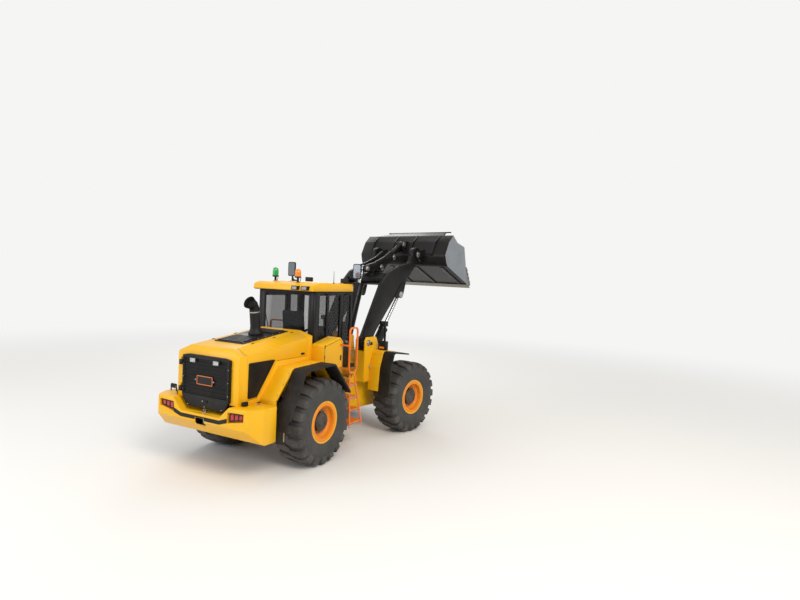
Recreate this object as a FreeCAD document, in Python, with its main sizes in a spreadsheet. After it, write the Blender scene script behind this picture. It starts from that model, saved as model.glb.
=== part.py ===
import FreeCAD, Part
import math
import os

import Sketcher
from FreeCAD import Placement, Rotation, Vector

# An articulated wheel loader that stands with its boom raised and its bucket tipping.
# The model's own frame: X forward, Y to the left, Z up, with X = Y = 0 on the
# articulation pin and Z = 0 on the ground. The front half is drawn straight and then
# turned about the pin by steer_angle. At the end everything shifts together so that
# the origin is the centre of the overall box's base.

# Driving dimensions: name, millimetres or degrees.
SIZES = (
    # running gear
    ("wheelbase", 3300),
    ("track_width", 2110),
    ("tyre_diameter", 1600),
    ("tyre_width", 600),
    ("tyre_shoulder", 60),
    ("tread_depth", 45),
    ("lugs_a_side", 20),
    ("lug_length", 145),
    ("rim_seat_radius", 318),
    ("rim_flange_radius", 362),
    ("rim_half_width", 262),
    ("rim_wall", 16),
    ("wheel_disc_inset", 150),
    ("wheel_disc_wall", 24),
    ("hub_radius", 168),
    ("hub_face_inset", 60),
    ("spindle_radius", 70),
    ("pin_clearance", 0.5),
    ("axle_tube_radius", 100),
    ("axle_bowl_radius", 265),
    ("brake_radius", 215),
    ("brake_inset", 330),
    ("shaft_radius", 48),
    # articulation and steering
    ("steer_angle", -10),
    ("hinge_pin_radius", 60),
    ("hinge_eye_radius", 145),
    ("hinge_plate", 50),
    ("hinge_tongue", 64),
    ("hinge_gap", 8),
    ("lower_hinge_height", 590),
    ("upper_hinge_height", 1150),
    ("steer_foot_reach", 860),
    ("steer_foot_side", 400),
    ("steer_eye_reach", 290),
    ("steer_eye_side", 395),
    ("steer_height", 850),
    ("steer_bore_radius", 48),
    ("steer_rod_radius", 28),
    ("steer_barrel_length", 765),
    ("steer_rod_length", 750),
    # rear frame
    ("rail_half_gap", 400),
    ("rail_plate", 40),
    ("rail_top", 1180),
    ("rail_bottom", 700),
    ("neck_half_gap", 185),
    ("neck_start", 1050),
    ("neck_front", 430),
    # counterweight
    ("weight_corner_rear", 3400),
    ("weight_front", 2830),
    ("weight_half_width", 1180),
    ("weight_flat_half", 620),
    ("weight_top", 1290),
    ("weight_valley_top", 1090),
    ("weight_bottom", 950),
    ("weight_belly", 690),
    ("lamp_recess_depth", 90),
    ("tow_slot_half", 110),
    ("tow_pin_radius", 25),
    # engine cover
    ("hood_half_width", 720),
    ("hood_rear", 3250),
    ("hood_front", 1330),
    ("hood_wall", 30),
    ("hood_slope", 7),
    ("hood_crest_half", 470),
    ("hood_crest_rear", 2205),
    ("hood_crease_drop", 115),
    ("hood_bottom", 1320),
    ("hood_rear_rake", 70),
    ("hood_door_front", 1480),
    ("hood_door_rear", 3060),
    ("hood_door_gap", 7),
    ("grille_half_width", 560),
    ("grille_top", 2060),
    ("grille_bottom", 1340),
    ("grille_plate", 45),
    ("grille_frame", 55),
    ("grille_recess", 15),
    ("grille_hinge_reach", 62),
    ("grille_hinge_side", 40),
    ("louvre_half_width", 356),
    ("louvre_rear", 2800),
    ("louvre_front", 1600),
    ("louvre_rise", 14),
    ("louvre_fin", 18),
    ("exhaust_behind", 2110),
    ("exhaust_radius", 92),
    ("exhaust_top", 3010),
    # rear fenders
    ("fender_inner", 755),
    ("fender_seam", 1050),
    ("fender_outer", 1360),
    ("fender_wall", 40),
    ("rear_fender_top", 1880),
    ("rear_fender_rear_top", 2290),
    ("rear_fender_rear", 2740),
    ("rear_fender_rear_low", 1180),
    ("rear_fender_front_top", 1420),
    ("rear_fender_front", 1080),
    ("rear_fender_front_low", 1290),
    # cab
    ("cab_half_width", 720),
    ("cab_rear", 1270),
    ("cab_front", 30),
    ("cab_floor_top", 1640),
    ("cab_floor_plate", 60),
    ("cab_wall", 45),
    ("cab_head", 3190),
    ("cab_roof_top", 3345),
    ("cab_roof_rear", 1430),
    ("cab_roof_half", 750),
    ("sill_height", 2230),
    ("door_front", 390),
    ("door_rear", 1215),
    ("door_gap", 6),
    ("door_bar", 60),
    ("pillar", 70),
    ("glass", 8),
    # boxes and steps beside the cab
    ("box_outer", 1010),
    ("box_top", 2200),
    ("box_bottom", 1560),
    ("box_rear", 1330),
    ("box_front", 760),
    ("step_outer", 1250),
    ("step_width", 480),
    ("step_first", 540),
    ("step_rise", 262),
    ("step_run", 85),
    ("step_front", 300),
    ("step_tread", 36),
    # front frame
    ("tower_inner", 465),
    ("tower_outer", 750),
    ("tower_plate", 30),
    ("tower_rear", 560),
    ("tower_front", 1010),
    ("tower_top", 2180),
    ("frame_front", 1960),
    ("frame_top", 1240),
    ("frame_bottom", 560),
    ("saddle_height", 990),
    ("bulkhead", 420),
    # boom linkage, pin centres in the straight front frame with the boom raised
    ("boom_pin_x", 680),
    ("boom_pin_z", 2050),
    ("bucket_pin_x", 2420),
    ("bucket_pin_z", 4120),
    ("crank_pin_x", 1700),
    ("crank_pin_z", 3760),
    ("link_pin_x", 2160),
    ("link_pin_z", 4040),
    ("bucket_link_pin_x", 2600),
    ("bucket_link_pin_z", 4375),
    ("lift_foot_x", 780),
    ("lift_foot_z", 1500),
    ("lift_eye_x", 1850),
    ("lift_eye_z", 3130),
    ("tilt_foot_x", 770),
    ("tilt_foot_z", 2104),
    ("tilt_eye_x", 1205),
    ("tilt_eye_z", 3710),
    ("cross_tube_x", 1480),
    ("cross_tube_z", 3480),
    ("cross_tube_radius", 148),
    ("boom_inner", 550),
    ("boom_plate", 115),
    ("boom_nose_radius", 165),
    ("boom_foot_radius", 165),
    ("linkage_pin_radius", 45),
    ("lift_bore_radius", 88),
    ("lift_rod_radius", 39),
    ("lift_barrel_length", 1010),
    ("lift_rod_length", 1060),
    ("tilt_bore_radius", 95),
    ("tilt_rod_radius", 48),
    ("tilt_barrel_length", 1300),
    ("tilt_rod_length", 860),
    ("barrel_wall", 17),
    ("crank_gap_half", 110),
    ("crank_plate", 45),
    ("link_half", 70),
    # bucket, drawn flat on the ground from its heel and then tipped
    ("bucket_tip", 24),
    ("heel_reach", 313),
    ("heel_drop", 112),
    ("bucket_half_width", 1373),
    ("bucket_floor", 1230),
    ("bucket_side_plate", 32),
    ("edge_reach", 60),
    # front fenders and lamps
    ("front_fender_top", 1905),
    ("front_fender_rear", 700),
    ("front_fender_low", 1010),
    ("front_fender_front", 1330),
    ("lamp_side", 950),
)


class Size(float):
    """A length or angle that keeps the sheet formula it is worked out from."""

    def __new__(cls, value, formula):
        size = super().__new__(cls, value)
        size.formula = formula
        return size

    def __add__(self, other):
        return Size(float(self) + float(other), f"({self.formula} + {formula_of(other)})")

    __radd__ = __add__

    def __sub__(self, other):
        return Size(float(self) - float(other), f"({self.formula} - {formula_of(other)})")

    def __rsub__(self, other):
        return Size(float(other) - float(self), f"({formula_of(other)} - {self.formula})")

    def __mul__(self, other):
        return Size(float(self) * float(other), f"({self.formula} * {formula_of(other)})")

    __rmul__ = __mul__

    def __truediv__(self, other):
        return Size(float(self) / float(other), f"({self.formula} / {formula_of(other)})")

    def __neg__(self):
        return Size(-float(self), f"(0 - {self.formula})")


def formula_of(value):
    """The sheet formula of a size, or a plain number in brackets."""
    return getattr(value, "formula", f"({float(value)!r})")


def sine(angle):
    """The sine of an angle in degrees."""
    return Size(math.sin(math.radians(angle)), f"sin({formula_of(angle)} * 1 deg)")


def cosine(angle):
    """The cosine of an angle in degrees."""
    return Size(math.cos(math.radians(angle)), f"cos({formula_of(angle)} * 1 deg)")


def span_of(dx, dz):
    """The straight distance over two legs."""
    return Size(math.hypot(dx, dz), f"sqrt({formula_of(dx)}^2 + {formula_of(dz)}^2)")


doc = FreeCAD.newDocument("WheelLoader")
sheet = doc.addObject("Spreadsheet::Sheet", "Sizes")
for row, (alias, value) in enumerate(SIZES, start=1):
    sheet.set(f"A{row}", alias)
    sheet.set(f"B{row}", str(value))
    sheet.setAlias(f"B{row}", alias)
doc.recompute()
size = {alias: Size(value, f"Sizes.{alias}") for alias, value in SIZES}

REAR = "rear"
FRONT = "front"
pieces = []


def bind(target, path, value):
    """Tie one property of an object to the formula of a size."""
    if hasattr(value, "formula"):
        target.setExpression(path, value.formula)


class Piece:
    """One named body, made by padding, pocketing and turning sketched outlines."""

    def __init__(self, name, half=REAR):
        self.body = doc.addObject("PartDesign::Body", name)
        self.body.Label = name
        self.name = name
        self.half = half
        self.local = Placement()
        self.cuts = []
        pieces.append(self)

    def place(self, x=0, y=0, z=0, axis=Vector(0, 0, 1), angle=0):
        """Set where the piece's own frame sits in the half that carries it."""
        self.local = Placement(Vector(float(x), float(y), float(z)), Rotation(axis, float(angle)))
        return self

    def sketch(self, plane, start):
        """An empty sketch parallel to one of the body's planes, start along its world axis."""
        sketch = self.body.newObject("Sketcher::SketchObject", f"{self.body.Name}_sketch")
        role = f"{plane}_Plane"
        base = next(f for f in self.body.Origin.OriginFeatures if f.Role == role)
        sketch.AttachmentSupport = [(base, "")]
        sketch.MapMode = "FlatFace"
        sketch.AttachmentOffset = Placement(Vector(0, 0, float(start)), Rotation())
        bind(sketch, "AttachmentOffset.Base.z", start)
        return sketch

    def feature(self, kind, sketch, plane, low, high):
        """A pad or pocket of a sketch between two stations along the plane's axis."""
        feature = self.body.newObject(f"PartDesign::{kind}", f"{self.body.Name}_{kind.lower()}")
        feature.Profile = sketch
        feature.Length = float(high - low)
        bind(feature, "Length", high - low)
        if kind == "Pocket":
            feature.Reversed = True
            self.cuts.append(feature)
        sketch.Visibility = False
        return self

    def start(self, plane, low, high):
        """Where the sketch stands: a sketch on XZ faces -Y, so it starts at the high side."""
        return -high if plane == "XZ" else low

    def pad(self, plane, outline, low, high):
        sketch = self.sketch(plane, self.start(plane, low, high))
        draw_outline(sketch, outline)
        return self.feature("Pad", sketch, plane, low, high)

    def pocket(self, plane, outline, low, high):
        sketch = self.sketch(plane, self.start(plane, low, high))
        draw_outline(sketch, outline)
        return self.feature("Pocket", sketch, plane, low, high)

    def pad_disc(self, plane, centre, radius, low, high):
        sketch = self.sketch(plane, self.start(plane, low, high))
        draw_circle(sketch, centre, radius)
        return self.feature("Pad", sketch, plane, low, high)

    def pocket_disc(self, plane, centre, radius, low, high):
        sketch = self.sketch(plane, self.start(plane, low, high))
        draw_circle(sketch, centre, radius)
        return self.feature("Pocket", sketch, plane, low, high)

    def around(self, count, turn=0):
        """Repeat the last pad evenly about the body's Y axis."""
        pad = self.body.Tip
        ring = self.body.newObject("PartDesign::PolarPattern", f"{self.name}_ring")
        ring.Originals = [pad]
        ring.Axis = (next(f for f in self.body.Origin.OriginFeatures if f.Role == "Y_Axis"), [""])
        ring.Angle = 360
        ring.Occurrences = count
        self.body.Tip = ring
        return self

    def lug(self, outline, long, turn):
        """A block of this outline in a plane through Y, turned about Y and as long as given across it."""
        sketch = self.sketch("YZ", 0)
        ahead = Rotation(Vector(1, 0, 0), float(turn))
        sketch.AttachmentOffset = Placement(ahead.multVec(Vector(0, 0, -float(long) / 2)), ahead)
        sketch.setExpression("AttachmentOffset.Base.z", None)
        draw_outline(sketch, outline)
        return self.feature("Pad", sketch, "YZ", -long / 2, long / 2)

    def spin(self, plane, outline, axis="H_Axis", cut=False, station=0):
        """A full turn of an outline about one of its sketch's axes."""
        sketch = self.sketch(plane, station if plane != "XZ" else -station)
        draw_outline(sketch, outline)
        kind = "Groove" if cut else "Revolution"
        feature = self.body.newObject(f"PartDesign::{kind}", f"{self.body.Name}_{kind.lower()}")
        feature.Profile = sketch
        feature.ReferenceAxis = (sketch, [axis])
        feature.Angle = 360
        if cut:
            self.cuts.append(feature)
        sketch.Visibility = False
        return self


def corner(point):
    """The plan position and rounding radius of an outline's point."""
    return point[0], point[1], point[2] if len(point) > 2 else 0


def pin_point(sketch, geometry, place, x, y):
    """Hold one point of a sketch at its two distances from the origin."""
    for kind, value in (("DistanceX", x), ("DistanceY", y)):
        held = sketch.addConstraint(Sketcher.Constraint(kind, -1, 1, geometry, place, float(value)))
        bind(sketch, f"Constraints[{held}]", value)


def draw_outline(sketch, outline):
    """A closed outline of straight runs, each corner sharp or rounded to its third value."""
    corners = [corner(point) for point in outline]
    count = len(corners)
    spots = [Vector(float(x), float(y), 0) for x, y, radius in corners]
    entries = []
    exits = []
    arcs = {}
    for index, (x, y, radius) in enumerate(corners):
        spot = spots[index]
        back = (spots[index - 1] - spot).normalize()
        ahead = (spots[(index + 1) % count] - spot).normalize()
        if not float(radius):
            entries.append(spot)
            exits.append(spot)
            continue
        half = back.getAngle(ahead) / 2
        reach = float(radius) / math.tan(half)
        entries.append(spot + back * reach)
        exits.append(spot + ahead * reach)
        middle = spot + (back + ahead).normalize() * (float(radius) / math.sin(half))
        turn = back.cross(ahead).z
        first, last = (entries[-1], exits[-1]) if turn < 0 else (exits[-1], entries[-1])
        angles = [math.atan2(p.y - middle.y, p.x - middle.x) for p in (first, last)]
        circle = Part.Circle(middle, Vector(0, 0, 1), float(radius))
        arcs[index] = (Part.ArcOfCircle(circle, angles[0], angles[1]), turn < 0)
    lines = []
    for index in range(count):
        run = Part.LineSegment(exits[index], entries[(index + 1) % count])
        lines.append(sketch.addGeometry(run, False))
    for index, (x, y, radius) in enumerate(corners):
        before = lines[index - 1]
        after = lines[index]
        if index not in arcs:
            sketch.addConstraint(Sketcher.Constraint("Coincident", before, 2, after, 1))
            pin_point(sketch, after, 1, x, y)
            continue
        arc, forward = arcs[index]
        bend = sketch.addGeometry(arc, False)
        starts, ends = (1, 2) if forward else (2, 1)
        sketch.addConstraint(Sketcher.Constraint("Tangent", before, 2, bend, starts))
        sketch.addConstraint(Sketcher.Constraint("Tangent", bend, ends, after, 1))
        held = sketch.addConstraint(Sketcher.Constraint("Radius", bend, float(radius)))
        bind(sketch, f"Constraints[{held}]", radius)
        mark = sketch.addGeometry(Part.Point(spots[index]), True)
        sketch.addConstraint(Sketcher.Constraint("PointOnObject", mark, 1, before))
        sketch.addConstraint(Sketcher.Constraint("PointOnObject", mark, 1, after))
        pin_point(sketch, mark, 1, x, y)


def draw_circle(sketch, centre, radius):
    circle = Part.Circle(Vector(float(centre[0]), float(centre[1]), 0), Vector(0, 0, 1), float(radius))
    ring = sketch.addGeometry(circle, False)
    held = sketch.addConstraint(Sketcher.Constraint("Radius", ring, float(radius)))
    bind(sketch, f"Constraints[{held}]", radius)
    pin_point(sketch, ring, 3, centre[0], centre[1])


def box(low_a, high_a, low_b, high_b, radius=0):
    """A rectangle between two stations each way, its corners rounded to radius."""
    return ((low_a, low_b, radius), (high_a, low_b, radius),
            (high_a, high_b, radius), (low_a, high_b, radius))


def between(side, inner, outer):
    """The low and high Y stations of a slab on one side, side being 1 left or -1 right."""
    return (inner, outer) if side > 0 else (-outer, -inner)


SIDES = (("left", 1), ("right", -1))
GRILLE_KNUCKLES = (1400, 1860)
axle_height = size["tyre_diameter"] / 2
half_track = size["track_width"] / 2
rear_axle_x = -size["wheelbase"] / 2
front_axle_x = size["wheelbase"] / 2


class Mix:
    """One named piece that joins or cuts finished bodies."""

    def __init__(self, name, kind, base, tool, half=REAR):
        self.body = doc.addObject(f"Part::{kind}", name)
        self.body.Label = name
        self.body.Base = base.body
        self.body.Tool = tool.body
        self.name = name
        self.half = half
        self.local = Placement()
        self.cuts = []
        for part in (base, tool):
            if part in pieces:
                pieces.remove(part)
        pieces.append(self)


def hinge_stations(height):
    """The four faces of a clevis round its tongue: below, under, over and above."""
    half = size["hinge_tongue"] / 2 + size["hinge_gap"]
    return (height - half - size["hinge_plate"], height - half,
            height + half, height + half + size["hinge_plate"])


def rear_chassis():
    """Two bent rails, the clevis plates of the articulation, and the rear axle's cradle."""
    chassis = Piece("rear_chassis")
    gap = size["rail_half_gap"]
    neck = size["neck_half_gap"]
    plate = size["rail_plate"]
    bend = size["neck_start"] + 380
    front = size["neck_front"]
    stations = [hinge_stations(size[key]) for key in ("lower_hinge_height", "upper_hinge_height")]
    for _, side in SIDES:
        rail = ((-size["weight_front"], side * gap), (-bend, side * gap),
                (-size["neck_start"], side * neck), (-front, side * neck),
                (-front, side * (neck + plate)), (-size["neck_start"], side * (neck + plate)),
                (-bend, side * (gap + plate)), (-size["weight_front"], side * (gap + plate)))
        chassis.pad("XY", rail, size["rail_bottom"], size["rail_top"])
        cheek = box(-size["neck_start"], -front, stations[0][0], stations[1][3])
        chassis.pad("XZ", cheek, *between(side, neck, neck + plate))
        reach = size["steer_foot_reach"]
        for low in (-75, 45):
            ear = box(-reach - 60, -reach + 22, side * neck, side * (size["steer_foot_side"] + 60))
            chassis.pad("XY", ear, size["steer_height"] + low, size["steer_height"] + low + 30)
        chassis.pad_disc("XY", (-reach, side * size["steer_foot_side"]), 30,
                         size["steer_height"] - 75, size["steer_height"] + 75)
    eye = size["hinge_eye_radius"]
    width = neck + plate
    fork = ((-size["neck_start"], -width), (-front, -width), (0, -eye),
            (0, eye), (-front, width), (-size["neck_start"], width))
    for below, under, over, above in stations:
        for low, high in ((below, under), (over, above)):
            chassis.pad("XY", fork, low, high)
            chassis.pad_disc("XY", (0, 0), eye, low, high)
        chassis.pad_disc("XY", (0, 0), size["hinge_pin_radius"], below, above)
    cradle = size["axle_bowl_radius"] + 45
    for station in (rear_axle_x - cradle - 60, rear_axle_x + cradle):
        chassis.pad("YZ", box(-gap, gap, size["rail_bottom"] - 60, size["rail_top"]),
                    station, station + 60)
    chassis.pad("YZ", box(-gap, gap, size["rail_bottom"] + 40, size["rail_top"]), -2660, -2620)
    for station in (-1230, -480):
        chassis.pad("YZ", box(-560, 560, size["rail_top"], cab_floor_under()), station, station + 40)
    chassis.pocket_disc("YZ", (0, axle_height), trunnion_radius() + size["pin_clearance"],
                        -2400, -size["neck_start"] + 20)
    for _, side in SIDES:
        chassis.pocket_disc("XZ", (-2720, 750), 35, *between(side, gap - 10, gap + plate + 10))
        chassis.pocket_disc("XZ", (rear_axle_x, axle_height), size["axle_tube_radius"] + 35,
                            *between(side, gap - 1, gap + plate + 1))


def cab_floor_under():
    return size["cab_floor_top"] - size["cab_floor_plate"]


def trunnion_radius():
    return size["axle_tube_radius"] + 25


def counterweight():
    """A cast weight: raked belly, cut-off corners, a valley under the grille and lamp pockets."""
    weight = Piece("counterweight")
    rear = size["weight_corner_rear"]
    half = size["weight_half_width"]
    top = size["weight_top"]
    profile = ((-rear, size["weight_bottom"], 30), (-rear, top, 20), (-size["weight_front"], top),
               (-size["weight_front"], size["weight_belly"]),
               (-rear + 290, size["weight_belly"], 40))
    weight.pad("XZ", profile, -half, half)
    for _, side in SIDES:
        nose = ((-rear - 1, side * (half - 150)), (-rear + 260, side * (half + 1)),
                (-rear - 1, side * (half + 1)))
        weight.pocket("XY", nose, size["weight_belly"] - 1, top + 1)
        lamp = ((side * size["weight_flat_half"], top - 260), (side * (half - 190), top - 190),
                (side * (half - 190), top - 60), (side * (size["weight_flat_half"] + 20), top - 75))
        weight.pocket("YZ", lamp, -rear - 1, -rear + size["lamp_recess_depth"])
    valley = ((-450, size["weight_valley_top"]), (450, size["weight_valley_top"]),
              (660, top + 1), (-660, top + 1))
    weight.pocket("YZ", valley, -rear - 1, -size["weight_front"] + 1)
    slot = size["tow_slot_half"]
    weight.pocket("YZ", box(-slot, slot, 900, 1020), -rear - 1, -rear + 220)
    loose = size["tow_pin_radius"] + size["pin_clearance"]
    weight.pocket_disc("XY", (-rear + 110, 0), loose, size["weight_belly"], size["weight_valley_top"] + 1)
    pin = Piece("tow_pin")
    top = size["weight_valley_top"]
    pin.pad_disc("XY", (-rear + 110, 0), size["tow_pin_radius"], 870, top + 0.3)
    pin.pad_disc("XY", (-rear + 110, 0), size["tow_pin_radius"] + 14, top + 0.3, top + 22)


def tail_lamps():
    """A lamp block on the floor of each recess of the counterweight."""
    lamps = Piece("tail_lamps")
    floor = -size["weight_corner_rear"] + size["lamp_recess_depth"]
    top = size["weight_top"]
    for _, side in SIDES:
        block = ((side * (size["weight_flat_half"] + 40), top - 225, 15),
                 (side * (size["weight_half_width"] - 215), top - 175, 15),
                 (side * (size["weight_half_width"] - 215), top - 80, 15),
                 (side * (size["weight_flat_half"] + 50), top - 90, 15))
        lamps.pad("YZ", block, floor - 60, floor)


class Copy:
    """The same body standing in another place under its own name."""

    def __init__(self, name, piece, half, local):
        self.name = name
        self.body = piece.body
        self.half = half
        self.local = local
        self.cuts = []
        pieces.append(self)


def tyre():
    """The casing turned about +Y, with a ring of lugs each side, half a pitch apart."""
    radius = axle_height
    width = size["tyre_width"] / 2
    seat = size["rim_seat_radius"]
    flange = size["rim_flange_radius"]
    edge = size["rim_half_width"] - size["rim_wall"]
    base = radius - size["tread_depth"]
    shoulder = width - size["tyre_shoulder"]
    half = ((edge, seat), (edge, flange + 20), (width - 2, (flange + radius) / 2 - 50),
            (width - 2, radius - 190), (width - 20, radius - 100), (shoulder, base))
    body = Piece("tyre")
    body.spin("YZ", [(-y, r) for y, r in half] + [(y, r) for y, r in reversed(half)])
    lugs = int(size["lugs_a_side"])
    long = size["lug_length"]
    crown = radius - long * long / (8 * radius)
    for _, side in SIDES:
        block = ((side * 16, base - 20), (side * 16, crown), (side * (width - 66), crown - 4),
                 (side * (width - 16), crown - 34), (side * width, crown - 128),
                 (side * (width - 24), crown - 140), (side * (width - 90), base - 20))
        body.lug(block, long, 0 if side > 0 else 180 / lugs)
        body.around(lugs)
    return body


def rim():
    """The rim with its flanges, the dished disc and the hub, drawn with +Y outboard."""
    rim_half = size["rim_half_width"]
    seat = size["rim_seat_radius"]
    flange = size["rim_flange_radius"]
    wall = size["rim_wall"]
    edge = rim_half - wall
    disc_out = rim_half - size["wheel_disc_inset"]
    disc_in = disc_out - size["wheel_disc_wall"]
    hub = size["hub_radius"]
    hub_out = rim_half - size["hub_face_inset"]
    bore = size["spindle_radius"] + size["pin_clearance"]
    body = Piece("rim")
    body.spin("YZ", ((-rim_half, seat - wall), (-rim_half, flange), (-edge, flange), (-edge, seat),
                     (edge, seat), (edge, flange), (rim_half, flange), (rim_half, seat - wall),
                     (disc_out + 60, seat - wall), (disc_out, seat - wall - 70), (disc_out, hub),
                     (hub_out - 40, hub), (hub_out, hub - 45), (hub_out, 0), (60, 0), (60, bore),
                     (-60, bore), (-60, hub), (disc_in, hub), (disc_in, seat - wall - 50),
                     (disc_in + 50, seat - wall)))
    return body


def wheels():
    """Four like wheels, each turned so that its dished face is outboard."""
    for body in (tyre(), rim()):
        kind = body.name
        pieces.remove(body)
        for side_name, side in SIDES:
            for end, x, half in (("rear", rear_axle_x, REAR), ("front", front_axle_x, FRONT)):
                spot = Vector(float(x), float(side * half_track), float(axle_height))
                turn = Rotation(Vector(0, 0, 1), 0 if side > 0 else 180)
                Copy(f"{kind}_{end}_{side_name}", body, half, Placement(spot, turn))


def axle(name, x, half):
    """A cast axle: bowl, arms, brake housings and spindles, with the shaft on its nose."""
    tube = size["axle_tube_radius"]
    bowl = size["axle_bowl_radius"]
    end = half_track + 50
    brake_out = half_track - 70
    brake_in = half_track - size["brake_inset"]
    spindle = size["spindle_radius"]
    arm = ((-end, 0), (-end, spindle), (-brake_out, spindle), (-brake_out, size["brake_radius"]),
           (-brake_in, size["brake_radius"]), (-brake_in, tube), (-380, tube), (-150, bowl, 60),
           (150, bowl, 60), (380, tube), (brake_in, tube), (brake_in, size["brake_radius"]),
           (brake_out, size["brake_radius"]), (brake_out, spindle), (end, spindle), (end, 0))
    housing = Piece(name, half).place(x, 0, axle_height)
    housing.spin("YZ", arm)
    return housing


def axles():
    """The rear axle swings on trunnions fore and aft; the front one is bolted up on pads."""
    reach = size["axle_bowl_radius"] + 115
    rear = axle("rear_axle", rear_axle_x, REAR)
    rear.pad_disc("YZ", (0, 0), trunnion_radius(), -reach, reach)
    rear.pad_disc("YZ", (0, 0), size["shaft_radius"], reach, -rear_axle_x - size["neck_front"] - 40)
    front = axle("front_axle", front_axle_x, FRONT)
    front.pad_disc("YZ", (0, 0), trunnion_radius() - 20, -reach + 40, 0)
    front.pad_disc("YZ", (0, 0), size["shaft_radius"], -front_axle_x + 470, -reach + 40)
    top = size["saddle_height"] - axle_height
    for _, side in SIDES:
        front.pad("XZ", box(-150, 150, 0, top),
                  *between(side, size["tower_inner"], size["tower_inner"] + size["tower_plate"]))


def engine_block():
    """The engine as one plain mass on the rails' cross plates."""
    engine = Piece("engine_block")
    engine.pad("XZ", box(-2680, -1560, size["rail_top"], 2000), -330, 330)


def hood_outline(inset):
    """The engine cover seen from the side, its walls inset."""
    rise = size["hood_crest_rear"]
    slope = sine(size["hood_slope"]) / cosine(size["hood_slope"])
    rear = -size["hood_rear"] + inset
    rear_top = -size["hood_rear"] + size["hood_rear_rake"]
    front = -size["hood_front"] - inset
    return ((rear, size["weight_top"] - (1 if float(inset) else 0)), (rear, rise - 150),
            (rear_top + inset, rise - inset), (front - 80, rise - inset + slope * (front - 80 - rear_top)),
            (front, rise - inset - 90 + slope * (front - 80 - rear_top)),
            (front, size["weight_top"] - (1 if float(inset) else 0)))


def hood_body(name, inset):
    """The cover's full form, its long top edges cut off down to the crease."""
    half = size["hood_half_width"] - inset
    cover = Piece(name)
    outline = hood_outline(inset)
    cover.pad("XZ", outline, -half, half)
    slope = math.tan(math.radians(size["hood_slope"]))
    for _, side in SIDES:
        cutter = cover.sketch("YZ", outline[0][0] - 10)
        drop = size["hood_crease_drop"]
        crest = size["hood_crest_rear"] - inset
        seam = size["hood_crest_half"]
        reach = size["hood_half_width"] + 50
        low = crest - drop / (size["hood_half_width"] - seam) * (reach - seam)
        draw_outline(cutter, ((side * seam, crest), (side * reach, low), (side * reach, crest + 900),
                              (side * seam, crest + 900)))
        pocket = cover.body.newObject("PartDesign::Pocket", f"{name}_bevel")
        pocket.Profile = cutter
        pocket.Length = 2500
        pocket.UseCustomVector = True
        pocket.Direction = Vector(1, 0, slope)
        pocket.AlongSketchNormal = True
        pocket.Reversed = False
        cover.cuts.append(pocket)
        cutter.Visibility = False
    return cover


def door_region(name, side, grow):
    """The part of the engine cover that one side door takes, grown by a gap."""
    bottom = size["rear_fender_top"] + 75 - grow
    low = size["hood_bottom"] + 40 - grow
    front = -size["hood_door_front"] + grow
    rear = -size["hood_door_rear"] - grow
    region = Piece(name)
    outline = ((front, bottom), (-2330, bottom), (-2800, low), (rear, low), (rear, 2600), (front, 2600))
    seam = size["hood_crest_half"] + (size["pin_clearance"] if not float(grow) else 0)
    region.pad("XZ", outline, *between(side, seam, size["hood_half_width"] + 20))
    return region


def grille_hinge():
    """The grille door's upright axis, seen from above, behind the cover's left edge."""
    return (-size["hood_rear"] - size["grille_hinge_reach"],
            size["grille_half_width"] + size["grille_hinge_side"])


def hood():
    """A fixed cover over the engine with a lifting door each side and an opening at the rear."""
    outer = hood_body("hood_outer", 0)
    axis = grille_hinge()
    for base in GRILLE_KNUCKLES:
        above = base + 90.3
        outer.pad_disc("XY", axis, 22, above, above + 40)
        outer.pad("XY", box(axis[0], -size["hood_rear"] + 5, axis[1] - 14, axis[1] + 14), above, above + 40)
    shell = Mix("hood_shell", "Cut", outer, hood_body("hood_inner", size["hood_wall"]))
    pieces.remove(shell)
    frame = shell
    for name, side in SIDES:
        region = door_region(f"hood_region_{name}", side, 0)
        Mix(f"hood_door_{name}", "Common", shell, region)
        room = door_region(f"hood_room_{name}", side, size["hood_door_gap"])
        frame = Mix(f"hood_less_{name}", "Cut", frame, room)
    pieces.remove(frame)
    opening = Piece("hood_rear_opening")
    half = size["grille_half_width"] - 60
    opening.pad("YZ", box(-half, half, size["grille_bottom"] + 40, size["grille_top"] - 60),
                -size["hood_rear"] - 10, -size["hood_rear"] + size["hood_wall"] + 10)
    return Mix("hood_frame", "Cut", frame, opening)


def side_grilles():
    """The dark slanted grille on the skin of each side door."""
    for name, side in SIDES:
        grille = Piece(f"side_grille_{name}")
        half = size["hood_half_width"]
        outline = ((-3040, 1380, 25), (-2825, 1385, 25), (-2380, 1985, 25), (-3035, 1985, 25))
        grille.pad("XZ", outline, *between(side, half, half + 12))
        mesh = ((-3015, 1405, 15), (-2838, 1410, 15), (-2428, 1960, 15), (-3010, 1960, 15))
        grille.pocket("XZ", mesh, *between(side, half + 6, half + 13))


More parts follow.
